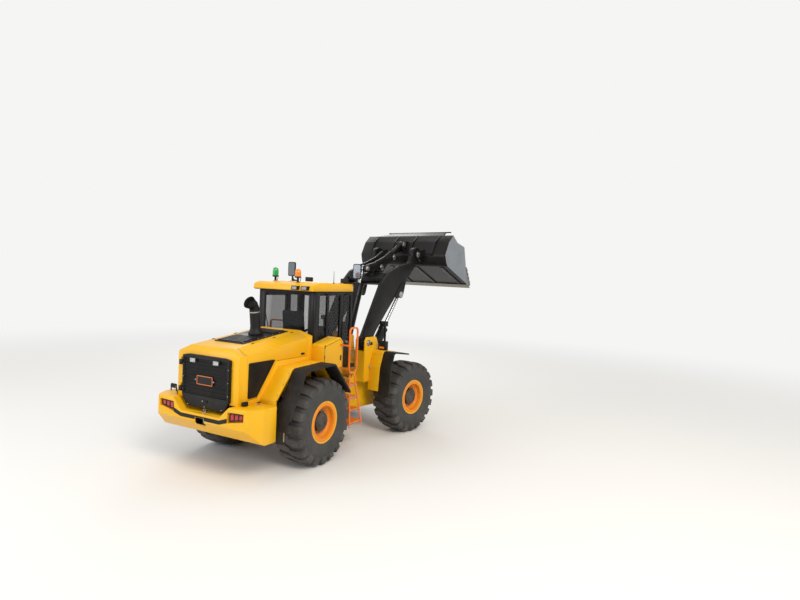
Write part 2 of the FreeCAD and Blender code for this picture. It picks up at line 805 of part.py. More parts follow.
def grille_door():
    """The eight-sided rear grille that hangs on its left edge: bars in a frame, lamps and a badge plate."""
    door = Piece("grille_door")
    half = size["grille_half_width"]
    low = size["weight_valley_top"] + 75
    outer = -size["hood_rear"] - 5 - size["grille_plate"]
    bottom = size["grille_bottom"]
    top = size["grille_top"]
    outline = ((-half + 125, low), (half - 125, low), (half, bottom), (half, top - 25), (half - 130, top),
               (-half + 130, top), (-half, top - 25), (-half, bottom))
    door.pad("YZ", outline, outer, outer + size["grille_plate"])
    inside = half - size["grille_frame"]
    floor = outer + size["grille_recess"]
    door.pocket("YZ", box(-inside, inside, bottom + 15, top - 60, 30), outer - 1, floor)
    for level in range(1385, 1940, 60):
        door.pad("YZ", box(-inside, inside, level, level + 16), outer + 3, floor)
    door.pad("YZ", box(-190, 190, 1560, 1720, 20), outer - 12, floor)
    for _, side in SIDES:
        lamp = box(side * 275 - 60, side * 275 + 60, 1935, 2000, 12)
        door.pad("YZ", lamp, outer - 35, floor)
    axis = grille_hinge()
    for base in GRILLE_KNUCKLES:
        door.pad_disc("XY", axis, 22, base, base + 90)
        door.pad("XY", box(axis[0] - 18, axis[0] + 30, half - 10, axis[1]), base, base + 90)


def hood_top():
    """The louvred panel and the exhaust stand square to the sloping top of the cover."""
    spot = {"x": -size["hood_rear"] + size["hood_rear_rake"], "z": size["hood_crest_rear"],
            "axis": Vector(0, 1, 0), "angle": -size["hood_slope"]}
    louvre = Piece("hood_louvre").place(**spot)
    start = size["hood_rear"] - size["hood_rear_rake"]
    half = size["louvre_half_width"]
    rise = size["louvre_rise"]
    louvre.pad("XY", box(start - size["louvre_rear"], start - size["louvre_front"], -half, half, 30),
               0, rise)
    for back in (*range(420, 900, 80), *range(1250, 1520, 80)):
        louvre.pad("XY", box(back, back + 40, -half + 60, half - 60, 8), rise, rise + size["louvre_fin"])
    stack = Piece("exhaust_stack").place(**spot)
    centre = start - size["exhaust_behind"]
    radius = size["exhaust_radius"]
    top = size["exhaust_top"] - size["hood_crest_rear"] - 330
    stack.pad_disc("XY", (centre, 0), radius + 45, rise, rise + 40)
    stack.pad_disc("XY", (centre, 0), radius, rise, top)
    bend = 150
    elbow = stack.sketch("XY", top)
    elbow.AttachmentOffset = Placement(Vector(float(centre) - bend, 0, float(top)), Rotation())
    draw_circle(elbow, (bend, 0), radius)
    tip = stack.body.newObject("PartDesign::Revolution", "exhaust_tip")
    tip.Profile = elbow
    tip.ReferenceAxis = (elbow, ["V_Axis"])
    tip.Angle = 55
    tip.Reversed = True


def fender_outline(rise, wall, stations):
    """A folded mudguard seen from the side: its outer fold and the same fold inset by the wall."""
    rear, rear_low, rear_top, top, front_top, front, front_low = stations
    return ((rear, rear_low), (rear + 20, rear_low + 160, 60), (rear_top, top - 30 + rise, 140),
            (front_top, top + rise, 140), (front, front_low + 40, 60), (front + 20, front_low),
            (front + 20 - wall, front_low), (front - wall * 1.1, front_low + 30, 60),
            (front_top - wall * 0.4, top + rise - wall, 120),
            (rear_top + wall * 0.4, top - 30 + rise - wall, 120),
            (rear + 20 + wall * 1.2, rear_low + 150, 60), (rear + wall, rear_low))


def rear_fenders():
    """Folded mudguards: painted inside, rubber outside the seam, with a flap before the wheel."""
    wall = size["fender_wall"]
    stations = (-size["rear_fender_rear"], size["rear_fender_rear_low"], -size["rear_fender_rear_top"],
                size["rear_fender_top"], -size["rear_fender_front_top"], -size["rear_fender_front"] + 150,
                size["rear_fender_front_low"])
    steel = Piece("rear_fenders")
    rubber = Piece("rear_fender_rubbers")
    for _, side in SIDES:
        steel.pad("XZ", fender_outline(0, wall, stations),
                  *between(side, size["hood_half_width"], size["fender_seam"]))
        lower = (stations[0] - 20, 830) + stations[2:5] + (stations[5] + 60,
                                                           size["rear_fender_front_low"] - 60)
        rubber.pad("XZ", fender_outline(-6, wall, lower),
                   *between(side, size["fender_seam"], size["fender_outer"]))


def cab_plan(inset):
    """Half of the cab's plan from its rear corner to the middle of its curved nose, inset."""
    half = size["cab_half_width"] - inset
    front = size["cab_front"]
    return ((front - inset * 0.4, half), (front + 205 - inset, 500 - inset * 0.6), (front + 235 - inset, 0))


def nose_outline(inset, back):
    """The cab's nose in plan, from one front corner round to the other."""
    right = [(x, -y) for x, y in cab_plan(inset)]
    left = [(x, y) for x, y in reversed(cab_plan(inset)[:-1])]
    half = cab_plan(inset)[0][1]
    outline = right + left
    if back is not None:
        outline = [(back, -half)] + outline + [(back, half)]
    return tuple(outline)


def cab():
    """The cab: floor, walls as thick as their posts with windows cut, roof and glass."""
    half = size["cab_half_width"]
    wall = size["cab_wall"]
    rear = -size["cab_rear"]
    front = size["cab_front"]
    floor_top = size["cab_floor_top"]
    head = size["cab_head"]
    sill = size["sill_height"]
    beam = head - size["pillar"]
    glass = size["glass"]
    floor = Piece("cab_floor")
    floor.pad("XY", nose_outline(0, rear), cab_floor_under(), floor_top)
    back = Piece("cab_rear_frame")
    back.pad("YZ", box(-half + wall, half - wall, floor_top, head), rear, rear + wall)
    rear_window = box(-half + 150, half - 150, sill, beam, 40)
    back.pocket("YZ", rear_window, rear - 1, rear + wall + 1)
    nose = Piece("cab_front_frame")
    nose.pad("XY", nose_outline(0, None), floor_top, head)
    nose.pocket("XY", nose_outline(wall, front - 1), floor_top - 1, head + 1)
    screen_low = sill - 290
    nose.pocket("YZ", box(-half + wall + 10, half - wall - 10, screen_low, beam), front + wall, front + 300)
    panes = Piece("cab_glass")
    panes.pad("YZ", rear_window, rear + wall / 2, rear + wall / 2 + glass)
    sides = Piece("cab_sides")
    windows = {1: (), -1: (box(rear + size["pillar"] + 45, -880, sill, beam, 30),
                           box(-840, -size["door_front"] - 30, sill, beam, 30))}
    quarter = box(-size["door_front"] + 70, front - 60, sill - 150, beam, 30)
    for _, side in SIDES:
        station = between(side, half - wall, half)
        over = between(side, half - wall - 1, half + 1)
        sides.pad("XZ", box(rear, front, floor_top, head), *station)
        cuts = windows[side] + (quarter,)
        if side > 0:
            doorway = box(-size["door_rear"] - size["pin_clearance"], -size["door_front"] + size["door_gap"],
                          floor_top + 20, beam + size["door_gap"])
            sides.pocket("XZ", doorway, *over)
        for cut in cuts:
            sides.pocket("XZ", cut, *over)
            middle = half - wall / 2
            panes.pad("XZ", cut, *between(side, middle, middle + glass))
    door = Piece("cab_door")
    low = floor_top + 20 + size["door_gap"]
    leaf = box(-size["door_rear"], -size["door_front"], low, beam)
    bar = size["door_bar"]
    window = box(-size["door_rear"] + bar, -size["door_front"] - bar, low + 190, beam - bar, 40)
    door.pad("XZ", leaf, half - wall, half)
    door.pocket("XZ", window, half - wall - 1, half + 1)
    pane = Piece("cab_door_glass")
    pane.pad("XZ", window, half - wall / 2, half - wall / 2 + glass)
    roof = Piece("cab_roof")
    top = size["cab_roof_top"]
    over = size["cab_roof_half"]
    profile = ((-size["cab_roof_rear"], head, 15), (-size["cab_roof_rear"] + 30, top - 50, 30),
               (-size["cab_roof_rear"] + 190, top, 60), (front + 60, top, 60), (front + 270, top - 60, 30),
               (front + 262, head, 15))
    roof.pad("XZ", profile, -over, over)
    for _, side in SIDES:
        bevel = ((front - 60, side * (over + 1)), (front + 280, side * 540), (front + 280, side * (over + 1)))
        roof.pocket("XY", bevel, head - 1, top + 1)


def screen_glass():
    """The wrapped windscreen, a thin shell set in the nose frame."""
    front = size["cab_front"]
    wall = size["cab_wall"]
    sill = size["sill_height"]
    beam = size["cab_head"] - size["pillar"]
    half = size["cab_half_width"]
    inset = size["glass"] + 2
    screen = Piece("windscreen")
    screen.pad("XY", nose_outline(2, None), sill - 290, beam)
    screen.pocket("XY", nose_outline(inset, front - 1), sill - 291, beam + 1)
    screen.pocket("YZ", box(-half - 1, half + 1, sill - 291, beam + 1), front - 1, front + wall)
    for _, side in SIDES:
        post = between(side, half - wall - 10, half + 1)
        screen.pocket("YZ", box(*post, sill - 291, beam + 1), front - 1, front + 300)


def side_boxes():
    """The tall box over the right fender, and a low store box under each side of the cab."""
    boxes = Piece("side_boxes")
    half = size["cab_half_width"]
    outer = size["box_outer"]
    rear = -size["box_rear"]
    front = -size["box_front"] + 70
    top = size["box_top"]
    low = size["box_bottom"]
    tall = ((rear, low + 290), (rear, top - 30, 40), (front - 110, top + 90, 40), (front, top - 20, 40),
            (front, low), (rear + 245, low))
    boxes.pad("XZ", tall, -outer, -half)
    for _, side in SIDES:
        boxes.pad("XZ", box(-800, -370, 960, cab_floor_under(), 20), *between(side, 560.3, half + 60))


def steps():
    """Four treads each side on sloping stringers, and a platform outside the left door."""
    ladder = Piece("steps")
    inner = size["cab_half_width"] + 60
    outer = size["step_outer"]
    tread = size["step_tread"]
    for _, side in SIDES:
        back = ((-800, 1500), (-560, 1500), (-300, 500), (-740, 500), (-800, 960))
        ladder.pad("XZ", back, *between(side, inner, inner + 12))
        for count in range(4):
            height = size["step_first"] + size["step_rise"] * count
            front = -size["step_front"] - size["step_run"] * count
            rear = max(float(front) - float(size["step_width"]), -800)
            ladder.pad("XY", box(rear, front, *between(side, inner, outer), 15), height, height + tread)
        for low, high in ((-290, -640), (-740, -800)):
            bar = ((low, 480), (low + 40, 480), (high + 40, 1560), (high, 1560))
            ladder.pad("XZ", bar, *between(side, outer, outer + 14))
    ladder.pad("XY", box(-800, -300, size["cab_half_width"], outer, 15), size["cab_floor_top"] - 60,
               size["cab_floor_top"] - 20)


def handrails():
    """Bent rails beside the steps and behind the cab."""
    rails = Piece("handrails")
    outer = size["step_outer"]
    low = size["cab_floor_top"] - 20
    rails.pad("XZ", box(-800, -500, 1580, 2500, 90), -outer, -outer + 30)
    rails.pocket("XZ", box(-770, -530, 1610, 2470, 60), -outer - 1, -outer + 31)
    for height in (1660, 2120):
        rails.pad("XZ", box(-800, -770, height, height + 30), -outer + 30, -size["box_outer"] - 0.3)
    rails.pad("YZ", box(size["cab_half_width"] + 40, outer, low - 20, low + 860, 90), -340, -310)
    rails.pocket("YZ", box(size["cab_half_width"] + 70, outer - 30, low + 10, low + 830, 60), -341, -309)
    rails.pocket("YZ", box(size["cab_half_width"], outer + 1, low - 21, low + 0.3), -341, -309)


def seat():
    """The operator's seat on its pedestal."""
    chair = Piece("seat")
    floor = size["cab_floor_top"]
    chair.pad("XZ", box(-1000, -620, floor, floor + 330, 20), -200, 200)
    chair.pad("XZ", box(-1060, -520, floor + 330, floor + 470, 50), -260, 260)
    back = ((-1040, floor + 470), (-930, floor + 470), (-1010, floor + 1120, 40), (-1110, floor + 1120, 40))
    chair.pad("XZ", back, -240, 240)
    for _, side in SIDES:
        chair.pad("XZ", box(-960, -600, floor + 560, floor + 620, 25), *between(side, 260, 330))
        chair.pad("XZ", box(-960, -900, floor + 330, floor + 560), *between(side, 260, 300))


def steering_column():
    """A raked column with its hand wheel, and the panel beside it."""
    tilt = 25
    column = Piece("steering_column").place(-150, 0, size["cab_floor_top"], Vector(0, 1, 0), -tilt)
    column.pad_disc("XY", (0, 0), 55, 65.8, 700)
    ring = ((160, 690), (200, 690), (200, 720), (160, 720))
    column.spin("XZ", ring, "V_Axis")
    column.pad("XY", box(-165, 165, -25, 25), 700, 712)
    foot = Piece("dash_panel")
    floor = size["cab_floor_top"]
    foot.pad("XZ", box(-220, -20, floor, floor + 40), -120, 120)
    desk = ((20, floor), (120, floor), (120, floor + 520), (60, floor + 620), (20, floor + 620))
    foot.pad("XZ", desk, -200, 200)


def roof_lamps():
    """Work lamps on the roof's rear and front edges."""
    lamps = Piece("roof_lamps")
    top = size["cab_roof_top"]
    rear = -size["cab_roof_rear"]
    for middle in (-600, -360):
        lamp = ((rear - 60, top - 140), (rear + 3.9, top - 140), (rear + 26.7, top - 60), (rear - 60, top - 60))
        lamps.pad("XZ", lamp, middle - 70, middle + 70)
    for _, side in SIDES:
        lamps.pad("YZ", box(side * 480 - 80, side * 480 + 80, top + 0.3, top + 110, 15), 10, 80)


def beacons():
    """A green and an amber lamp on short stands."""
    lights = Piece("beacons")
    top = size["cab_roof_top"]
    for x, y, height in ((-940, 600, 295), (-1190, -200, 275)):
        lights.pad_disc("XY", (x, y), 45, top + 0.3, top + 90)
        lights.pad_disc("XY", (x, y), 65, top + 90, top + height)


def mirrors():
    """A tall mirror on a bent arm at each front corner of the roof."""
    glasses = Piece("mirrors")
    top = size["cab_roof_top"]
    for _, side in SIDES:
        glasses.pad("XY", box(-80, -50, *between(side, 690, 880)), top, top + 30)
        glasses.pad("XY", box(-80, -50, *between(side, 850, 880)), top + 30, top + 130)
        glasses.pad("YZ", box(*between(side, 780, 980), top + 115, top + 435, 40), -90, -60)


def front_chassis():
    """Side plates, bulkhead and tongues, the two-plate towers, cross box and clevises."""
    frame = Piece("front_chassis", FRONT)
    inner = size["tower_inner"]
    outer = size["tower_outer"]
    plate = size["tower_plate"]
    low = size["frame_bottom"]
    top = size["frame_top"]
    head = size["tower_top"]
    wall = size["bulkhead"]
    rear = size["tower_rear"]
    fore = size["tower_front"]
    saddle = size["saddle_height"]
    side_plate = ((wall, low), (1240, low), (1400, saddle), (size["frame_front"], saddle),
                  (size["frame_front"], top), (1150, top + 40), (fore, 1400), (fore, head - 180),
                  (fore - 80, head, 40), (rear + 40, head, 40), (rear, head - 80), (rear, 1400), (wall, top))
    cheek = ((rear, 1190), (860, 1190), (fore, 1400), (fore, head - 180), (fore - 80, head, 40),
             (rear + 40, head, 40), (rear, head - 80))
    pin = size["linkage_pin_radius"]
    for _, side in SIDES:
        frame.pad("XZ", side_plate, *between(side, inner, inner + plate))
        frame.pad("XZ", cheek, *between(side, outer - plate, outer))
        frame.pad("XZ", box(rear, 860, 1190, 1240), *between(side, inner + plate, outer - plate))
        frame.pad("XZ", box(rear, rear + 25, 1240, 1870), *between(side, inner + plate, outer - plate))
        for key in ("boom_pin", "lift_foot"):
            frame.pad_disc("XZ", (size[f"{key}_x"], size[f"{key}_z"]), pin, *between(side, inner, outer))
        frame.pad("XZ", box(870, 990, 1760, 1800), *between(side, outer, 1000))
    frame.pad("YZ", box(-inner, inner, low, top), wall, wall + 40)
    frame.pad("XY", box(1240, size["frame_front"] - 40, -inner, inner), top - 130, top - 90)
    frame.pad("YZ", box(-inner, inner, saddle, top), size["frame_front"] - 40, size["frame_front"])
    frame.pad("YZ", box(-inner, inner, 1560, 1870), rear + 40, rear + 70)
    frame.pad("YZ", box(-inner, inner, 1560, 1870), fore - 140, fore - 110)
    frame.pad("XY", box(rear + 70, fore - 140, -inner, inner), 1830, 1870)
    eye = size["hinge_eye_radius"]
    half = size["hinge_tongue"] / 2
    for key in ("lower_hinge_height", "upper_hinge_height"):
        tongue = ((0, -eye), (wall, -eye - 90), (wall, eye + 90), (0, eye))
        frame.pad("XY", tongue, size[key] - half, size[key] + half)
        frame.pad_disc("XY", (0, 0), eye, size[key] - half, size[key] + half)
        frame.pocket_disc("XY", (0, 0), size["hinge_pin_radius"] + size["pin_clearance"],
                          size[key] - half - 1, size[key] + half + 1)
    for _, side in SIDES:
        for base in (-75, 45):
            level = size["steer_height"] + base
            reach = size["steer_eye_reach"]
            middle = side * size["steer_eye_side"]
            ear = box(reach, wall, middle - 55, middle + 55)
            frame.pad("XY", ear, level, level + 30)
            frame.pad_disc("XY", (reach, middle), 55, level, level + 30)
    foot = (size["tilt_foot_x"], size["tilt_foot_z"])
    for _, side in SIDES:
        ear = ((foot[0] - 110, 1870), (foot[0] + 100, 1870), (foot[0] + 60, foot[1]), (foot[0] - 60, foot[1]))
        station = between(side, 118, 150)
        frame.pad("XZ", ear, *station)
        frame.pad_disc("XZ", foot, 75, *station)
    frame.pad_disc("XZ", foot, pin, -150, 150)
    for _, side in SIDES:
        frame.pocket_disc("XZ", (620, 800), 35, *between(side, inner - 1, inner + plate + 1))


def front_fenders():
    """Folded front mudguards on brackets: steel inside the seam, rubber outside it."""
    steel = Piece("front_fenders", FRONT)
    rubber = Piece("front_fender_rubbers", FRONT)
    rear = size["front_fender_rear"]
    low = size["front_fender_low"]
    top = size["front_fender_top"]
    front = size["front_fender_front"]
    for _, side in SIDES:
        fold = ((rear, low), (rear + 40, low + 520, 200), (rear + 155, top, 90), (front, top - 60),
                (front, top - 90), (rear + 170, top - 30, 60), (rear + 70, low + 510, 200), (rear + 30, low))
        steel.pad("XZ", fold, *between(side, size["fender_inner"], size["fender_seam"]))
        lip = ((rear + 10, low - 70), (rear + 50, low + 520, 200), (rear + 165, top - 10, 90),
               (front + 60, top - 75), (front + 60, top - 105), (rear + 180, top - 42, 60),
               (rear + 82, low + 510, 200), (rear + 42, low - 70))
        rubber.pad("XZ", lip, *between(side, size["fender_seam"], size["fender_outer"]))
        steel.pad("XZ", box(890, 970, 1800, top - 32), *between(side, 800, 980))


def head_lamps():
    """Lamp blocks over each front fender and a work lamp on a post beside the tower."""
    lamps = Piece("head_lamps", FRONT)
    top = size["front_fender_top"]
    for _, side in SIDES:
        middle = side * size["lamp_side"]
        block = ((900, top - 5.4), (1010, top - 19.3), (1010, top + 190), (900, top + 190))
        lamps.pad("XZ", block, middle - 90, middle + 90)
        lamps.pad("XZ", box(940, 975, top + 190, 2430), middle + side * 30 - 18, middle + side * 30 + 18)
        lamps.pad("XZ", box(900, 1020, 2430, 2540, 20), middle - 60, middle + 90)


def cylinder(barrel, rod, radii, lengths, eyes, stations):
    """A barrel with a foot eye and a rod with piston and eye, both along local X."""
    bore, shaft = radii
    barrel_length, rod_length = lengths
    foot_radius, foot_half, eye_radius, eye_half, pin = eyes
    outside = bore + size["barrel_wall"]
    loose = size["pin_clearance"]
    gland = 50
    for station in stations:
        skin = ((foot_radius - 20, 0), (foot_radius - 20, outside - 20), (foot_radius, outside),
                (barrel_length, outside), (barrel_length, shaft + loose),
                (barrel_length - gland, shaft + loose),
                (barrel_length - gland, bore), (foot_radius + 20, bore), (foot_radius + 20, 0))
        barrel.spin("XZ", skin, station=station)
        barrel.pad_disc("XZ", (0, 0), foot_radius, station - foot_half, station + foot_half)
        barrel.pocket_disc("XZ", (0, 0), pin + loose, station - foot_half - 1, station + foot_half + 1)
        stem = ((-rod_length, 0), (-rod_length, bore - loose), (-rod_length + 40, bore - loose),
                (-rod_length + 40, shaft), (-eye_radius + 15, shaft), (-eye_radius + 15, 0))
        rod.spin("XZ", stem, station=station)
        rod.pad_disc("XZ", (0, 0), eye_radius, station - eye_half, station + eye_half)


def lean(dx, dz):
    """The turn about Y that lays local X along a leg of the linkage."""
    return -math.degrees(math.atan2(dz, dx))


def lift_side():
    return (size["tower_inner"] + size["tower_outer"]) / 2


def lift_cylinders():
    foot = (size["lift_foot_x"], size["lift_foot_z"])
    eye = (size["lift_eye_x"], size["lift_eye_z"])
    angle = lean(eye[0] - foot[0], eye[1] - foot[1])
    barrel = Piece("lift_barrels", FRONT).place(foot[0], 0, foot[1], Vector(0, 1, 0), angle)
    rod = Piece("lift_rods", FRONT).place(eye[0], 0, eye[1], Vector(0, 1, 0), angle)
    cylinder(barrel, rod, (size["lift_bore_radius"], size["lift_rod_radius"]),
             (size["lift_barrel_length"], size["lift_rod_length"]),
             (85, 100, 75, 42, size["linkage_pin_radius"]),
             (-lift_side(), lift_side()))


def tilt_cylinder():
    foot = (size["tilt_foot_x"], size["tilt_foot_z"])
    eye = (size["tilt_eye_x"], size["tilt_eye_z"])
    angle = lean(eye[0] - foot[0], eye[1] - foot[1])
    barrel = Piece("tilt_barrel", FRONT).place(foot[0], 0, foot[1], Vector(0, 1, 0), angle)
    rod = Piece("tilt_rod", FRONT).place(eye[0], 0, eye[1], Vector(0, 1, 0), angle)
    cylinder(barrel, rod, (size["tilt_bore_radius"], size["tilt_rod_radius"]),
             (size["tilt_barrel_length"], size["tilt_rod_length"]),
             (85, 108, 80, 70, size["linkage_pin_radius"]),
             (0,))


def steering_cylinders():
    """One each side of the articulation, lying flat; the rear frame carries the barrels."""
    turn = math.radians(size["steer_angle"])
    reach = size["steer_eye_reach"]
    for name, side in SIDES:
        across = side * size["steer_eye_side"]
        eye = (reach * math.cos(turn) - across * math.sin(turn),
               reach * math.sin(turn) + across * math.cos(turn))
        foot = (-size["steer_foot_reach"], side * size["steer_foot_side"])
        angle = math.degrees(math.atan2(eye[1] - foot[1], eye[0] - foot[0]))
        flat = Rotation(Vector(0, 0, 1), angle) * Rotation(Vector(1, 0, 0), 90)
        barrel = Piece(f"steering_barrel_{name}")
        rod = Piece(f"steering_rod_{name}")
        for piece, spot in ((barrel, foot), (rod, eye)):
            height = float(size["steer_height"])
            piece.local = Placement(Vector(float(spot[0]), float(spot[1]), height), flat)
        cylinder(barrel, rod, (size["steer_bore_radius"], size["steer_rod_radius"]),
                 (size["steer_barrel_length"], size["steer_rod_length"]), (55, 38, 48, 38, 30), (0,))


def pin_of(key):
    """A linkage pin's centre, seen from the side."""
    return size[f"{key}_pin_x"], size[f"{key}_pin_z"]


def boom():
    """Two arms bent at the knee, the cross tube with the crank's lug, and the cylinder lugs."""
    arms = Piece("boom", FRONT)
    inner = size["boom_inner"]
    outer = inner + size["boom_plate"]
    pin = size["linkage_pin_radius"]
    hole = pin + size["pin_clearance"]
    foot = pin_of("boom")
    nose = pin_of("bucket")
    arm = ((535, 2080), (870, 2770, 300), (1170, 3380, 200), (1440, 3660, 200),
           (1750, 3800, 200), (2180, 3900, 120), (2330, 4255), (2573, 4060), (2040, 3440, 120),
           (1880, 3330, 80), (1370, 2740, 200), (1000, 2290, 80), (835, 2000))
    lug = ((1600, 3060), (1800, 3060), (1935, 3110), (2020, 3430), (1850, 3400))
    eye = (size["lift_eye_x"], size["lift_eye_z"])
    middle = lift_side()
    for _, side in SIDES:
        station = between(side, inner, outer)
        arms.pad("XZ", arm, *station)
        arms.pad_disc("XZ", foot, size["boom_foot_radius"], *station)
        arms.pad_disc("XZ", foot, 105, *between(side, inner - 50, outer + 50))
        arms.pad_disc("XZ", nose, size["boom_nose_radius"], *station)
        for low, high in ((middle - 72, middle - 47), (middle + 47, middle + 72)):
            arms.pad("XZ", lug, *between(side, low, high))
            arms.pad_disc("XZ", eye, 85, *between(side, low, high))
    tube = (size["cross_tube_x"], size["cross_tube_z"])
    arms.pad_disc("XZ", tube, size["cross_tube_radius"], -inner, inner)
    crank = pin_of("crank")
    tongue = ((tube[0] - 60, tube[1] + 60), (tube[0] + 130, tube[1] - 60), (crank[0] + 70, crank[1] - 50),
              (crank[0] - 70, crank[1] + 60))
    arms.pad("XZ", tongue, -95, 95)
    arms.pad_disc("XZ", crank, 95, -95, 95)
    arms.pad_disc("XZ", crank, pin, -170, 170)
    for _, side in SIDES:
        for spot in (foot, nose):
            arms.pocket_disc("XZ", spot, hole, *between(side, inner - 60, outer + 60))


def bellcrank():
    """Twin curved plates on the boom's lug, joined by the link's pin and a spacer."""
    crank = Piece("bellcrank", FRONT)
    gap = size["crank_gap_half"]
    outer = gap + size["crank_plate"]
    pivot = pin_of("crank")
    link = pin_of("link")
    eye = (size["tilt_eye_x"], size["tilt_eye_z"])
    banana = ((1160, 3790, 40), (1190, 3620, 50), (1480, 3685, 100), (1760, 3655, 60), (1930, 3850, 60),
              (2180, 3935, 60), (2250, 4080, 50), (2060, 4185, 80), (1800, 4020, 200), (1480, 3880, 200))
    pin = size["linkage_pin_radius"]
    for _, side in SIDES:
        station = between(side, gap, outer)
        crank.pad("XZ", banana, *station)
        crank.pad_disc("XZ", pivot, 125, *between(side, gap, outer))
        crank.pad_disc("XZ", eye, 85, *station)
        crank.pad_disc("XZ", link, 85, *station)
        crank.pocket_disc("XZ", pivot, pin + size["pin_clearance"], *between(side, gap - 1, outer + 1))
        crank.pad_disc("XZ", link, pin, *between(side, gap, outer + 15))
    crank.pad_disc("XZ", (1930, 3985), 35, -gap, gap)


def bucket_link():
    """The bar between the crank and the bucket."""
    bar = Piece("bucket_link", FRONT)
    start = pin_of("link")
    end = pin_of("bucket_link")
    half = size["link_half"]
    dx = float(end[0] - start[0])
    dz = float(end[1] - start[1])
    long = math.hypot(dx, dz)
    nx, nz = -dz / long * 45, dx / long * 45
    bar.pad("XZ", ((start[0] - nx, start[1] - nz), (end[0] - nx, end[1] - nz), (end[0] + nx, end[1] + nz),
                   (start[0] + nx, start[1] + nz)), -half, half)
    for spot in (start, end):
        bar.pad_disc("XZ", spot, 75, -half, half)
    bar.pocket_disc("XZ", end, size["linkage_pin_radius"] + size["pin_clearance"], -half - 1, half + 1)


def bucket():
    """A curved shell between side plates with a raised guard, ears, pins and the cutting edge."""
    pivot = pin_of("bucket")
    spot = (pivot[0], 0, pivot[1], Vector(0, 1, 0), size["bucket_tip"])
    shell = Piece("bucket", FRONT).place(*spot)
    half = size["bucket_half_width"]

    def flat(points):
        """Outline points measured from the heel of the level bucket."""
        return tuple((size["heel_reach"] + point[0], point[1] - size["heel_drop"]) + tuple(point[2:])
                     for point in points)

    floor = size["bucket_floor"]
    skin = flat(((floor, 0), (20, 0, 150), (-130, 200, 200), (-130, 560, 200), (-40, 790), (-12, 775),
                 (-100, 553, 170), (-100, 212, 170), (33, 30, 120), (floor, 30)))
    shell.pad("XZ", skin, -half, half)
    guard = flat(((-40, 790), (290, 1070), (310, 1048), (-12, 775)))
    shell.pad("XZ", guard, -1120, 1120)
    cheek = flat(((floor, 0), (20, 0, 150), (-130, 200, 200), (-130, 560, 200), (-40, 790), (220, 720, 100),
                  (550, 775, 60), (870, 345), (floor + 20, 30)))
    plate = size["bucket_side_plate"]
    for _, side in SIDES:
        shell.pad("XZ", cheek, *between(side, half - plate, half))
        corner = ((side * 850, 1080 - size["heel_drop"]), (side * 1130, 700 - size["heel_drop"]),
                  (side * 1130, 1080 - size["heel_drop"]))
        shell.pocket("YZ", corner, size["heel_reach"] - 20, size["heel_reach"] + 400)
    rib = flat(((-110, 180), (-172, 235, 60), (-172, 560, 60), (-60, 760), (-40, 740), (-115, 555)))
    strip = flat(((140, -14), (1060, -14), (1080, 4), (120, 4)))
    for _, side in SIDES:
        for middle in (300, 1000):
            shell.pad("XZ", rib, *between(side, middle - 12, middle + 12))
        for middle in (400, 1180):
            shell.pad("XZ", strip, *between(side, middle - 60, middle + 60))
    pin = size["linkage_pin_radius"]
    ear = ((-60, -70), (190, -100), (215, 60), (190, 240), (-40, 80))
    inner = size["boom_inner"]
    outer = inner + size["boom_plate"]
    for _, side in SIDES:
        for low, high in ((inner - 50, inner - 20), (outer + 20, outer + 50)):
            shell.pad("XZ", ear, *between(side, low, high))
            shell.pad_disc("XZ", (0, 0), 90, *between(side, low, high))
        shell.pad_disc("XZ", (0, 0), pin, *between(side, inner - 50, outer + 50))
    angle = math.radians(size["bucket_tip"])
    end = pin_of("bucket_link")
    dx = end[0] - pivot[0]
    dz = end[1] - pivot[1]
    joint = (dx * math.cos(angle) - dz * math.sin(angle), dx * math.sin(angle) + dz * math.cos(angle))
    bracket = ((joint[0] - 40, joint[1] + 60), (joint[0] - 60, joint[1] - 50), (190, joint[1] - 170),
               (184, joint[1] + 170))
    for _, side in SIDES:
        station = between(side, size["link_half"] + 12, size["link_half"] + 42)
        shell.pad("XZ", bracket, *station)
        shell.pad_disc("XZ", joint, 80, *station)
    shell.pad_disc("XZ", joint, pin, -size["link_half"] - 42, size["link_half"] + 42)
    edge = Piece("bucket_edge", FRONT).place(*spot)
    lip = flat(((floor - 140, -26), (floor + size["edge_reach"], -26), (floor + size["edge_reach"], -20),
                (floor + 20, 0), (floor - 140, 0)))
    edge.pad("XZ", lip, -half, half)


def build():
    rear_chassis()
    counterweight()
    tail_lamps()
    engine_block()
    hood()
    side_grilles()
    grille_door()
    hood_top()
    rear_fenders()
    side_boxes()
    steps()
    handrails()
    cab()
    screen_glass()
    roof_lamps()
    beacons()
    mirrors()
    seat()
    steering_column()
    axles()
    wheels()
    front_chassis()
    front_fenders()
    head_lamps()
    steering_cylinders()
    lift_cylinders()
    tilt_cylinder()
    boom()
    bellcrank()
    bucket_link()
    bucket()


def check(piece):
    """Stop on a feature that failed, a shape that is empty or bad, or a cut that cut nothing."""
    label = piece.name
    if "Invalid" in piece.body.State or "Error" in piece.body.State:
        raise ValueError(f"{label}: {piece.body.State}")
    shape = piece.body.Shape
    if shape.isNull() or not shape.isValid() or not shape.Solids:
        raise ValueError(f"{label}: empty or bad shape")
    for cut in piece.cuts:
        if cut.Shape.Volume >= cut.BaseFeature.Shape.Volume - 1:
            raise ValueError(f"{label}: {cut.Name} takes nothing away")


def placed(piece):
    """The piece's shape in the machine's frame, its front half turned about the hinge."""
    turn = Placement(Vector(), Rotation(Vector(0, 0, 1), float(size["steer_angle"])))
    place = piece.local if piece.half == REAR else turn * piece.local
    shape = piece.body.Shape.copy()
    shape.Placement = place * shape.Placement
    return shape


def overall(shapes):
    """The box round every shape."""
    whole = FreeCAD.BoundBox()
    for shape in shapes:
        whole.add(shape.optimalBoundingBox(False, False))
    return whole


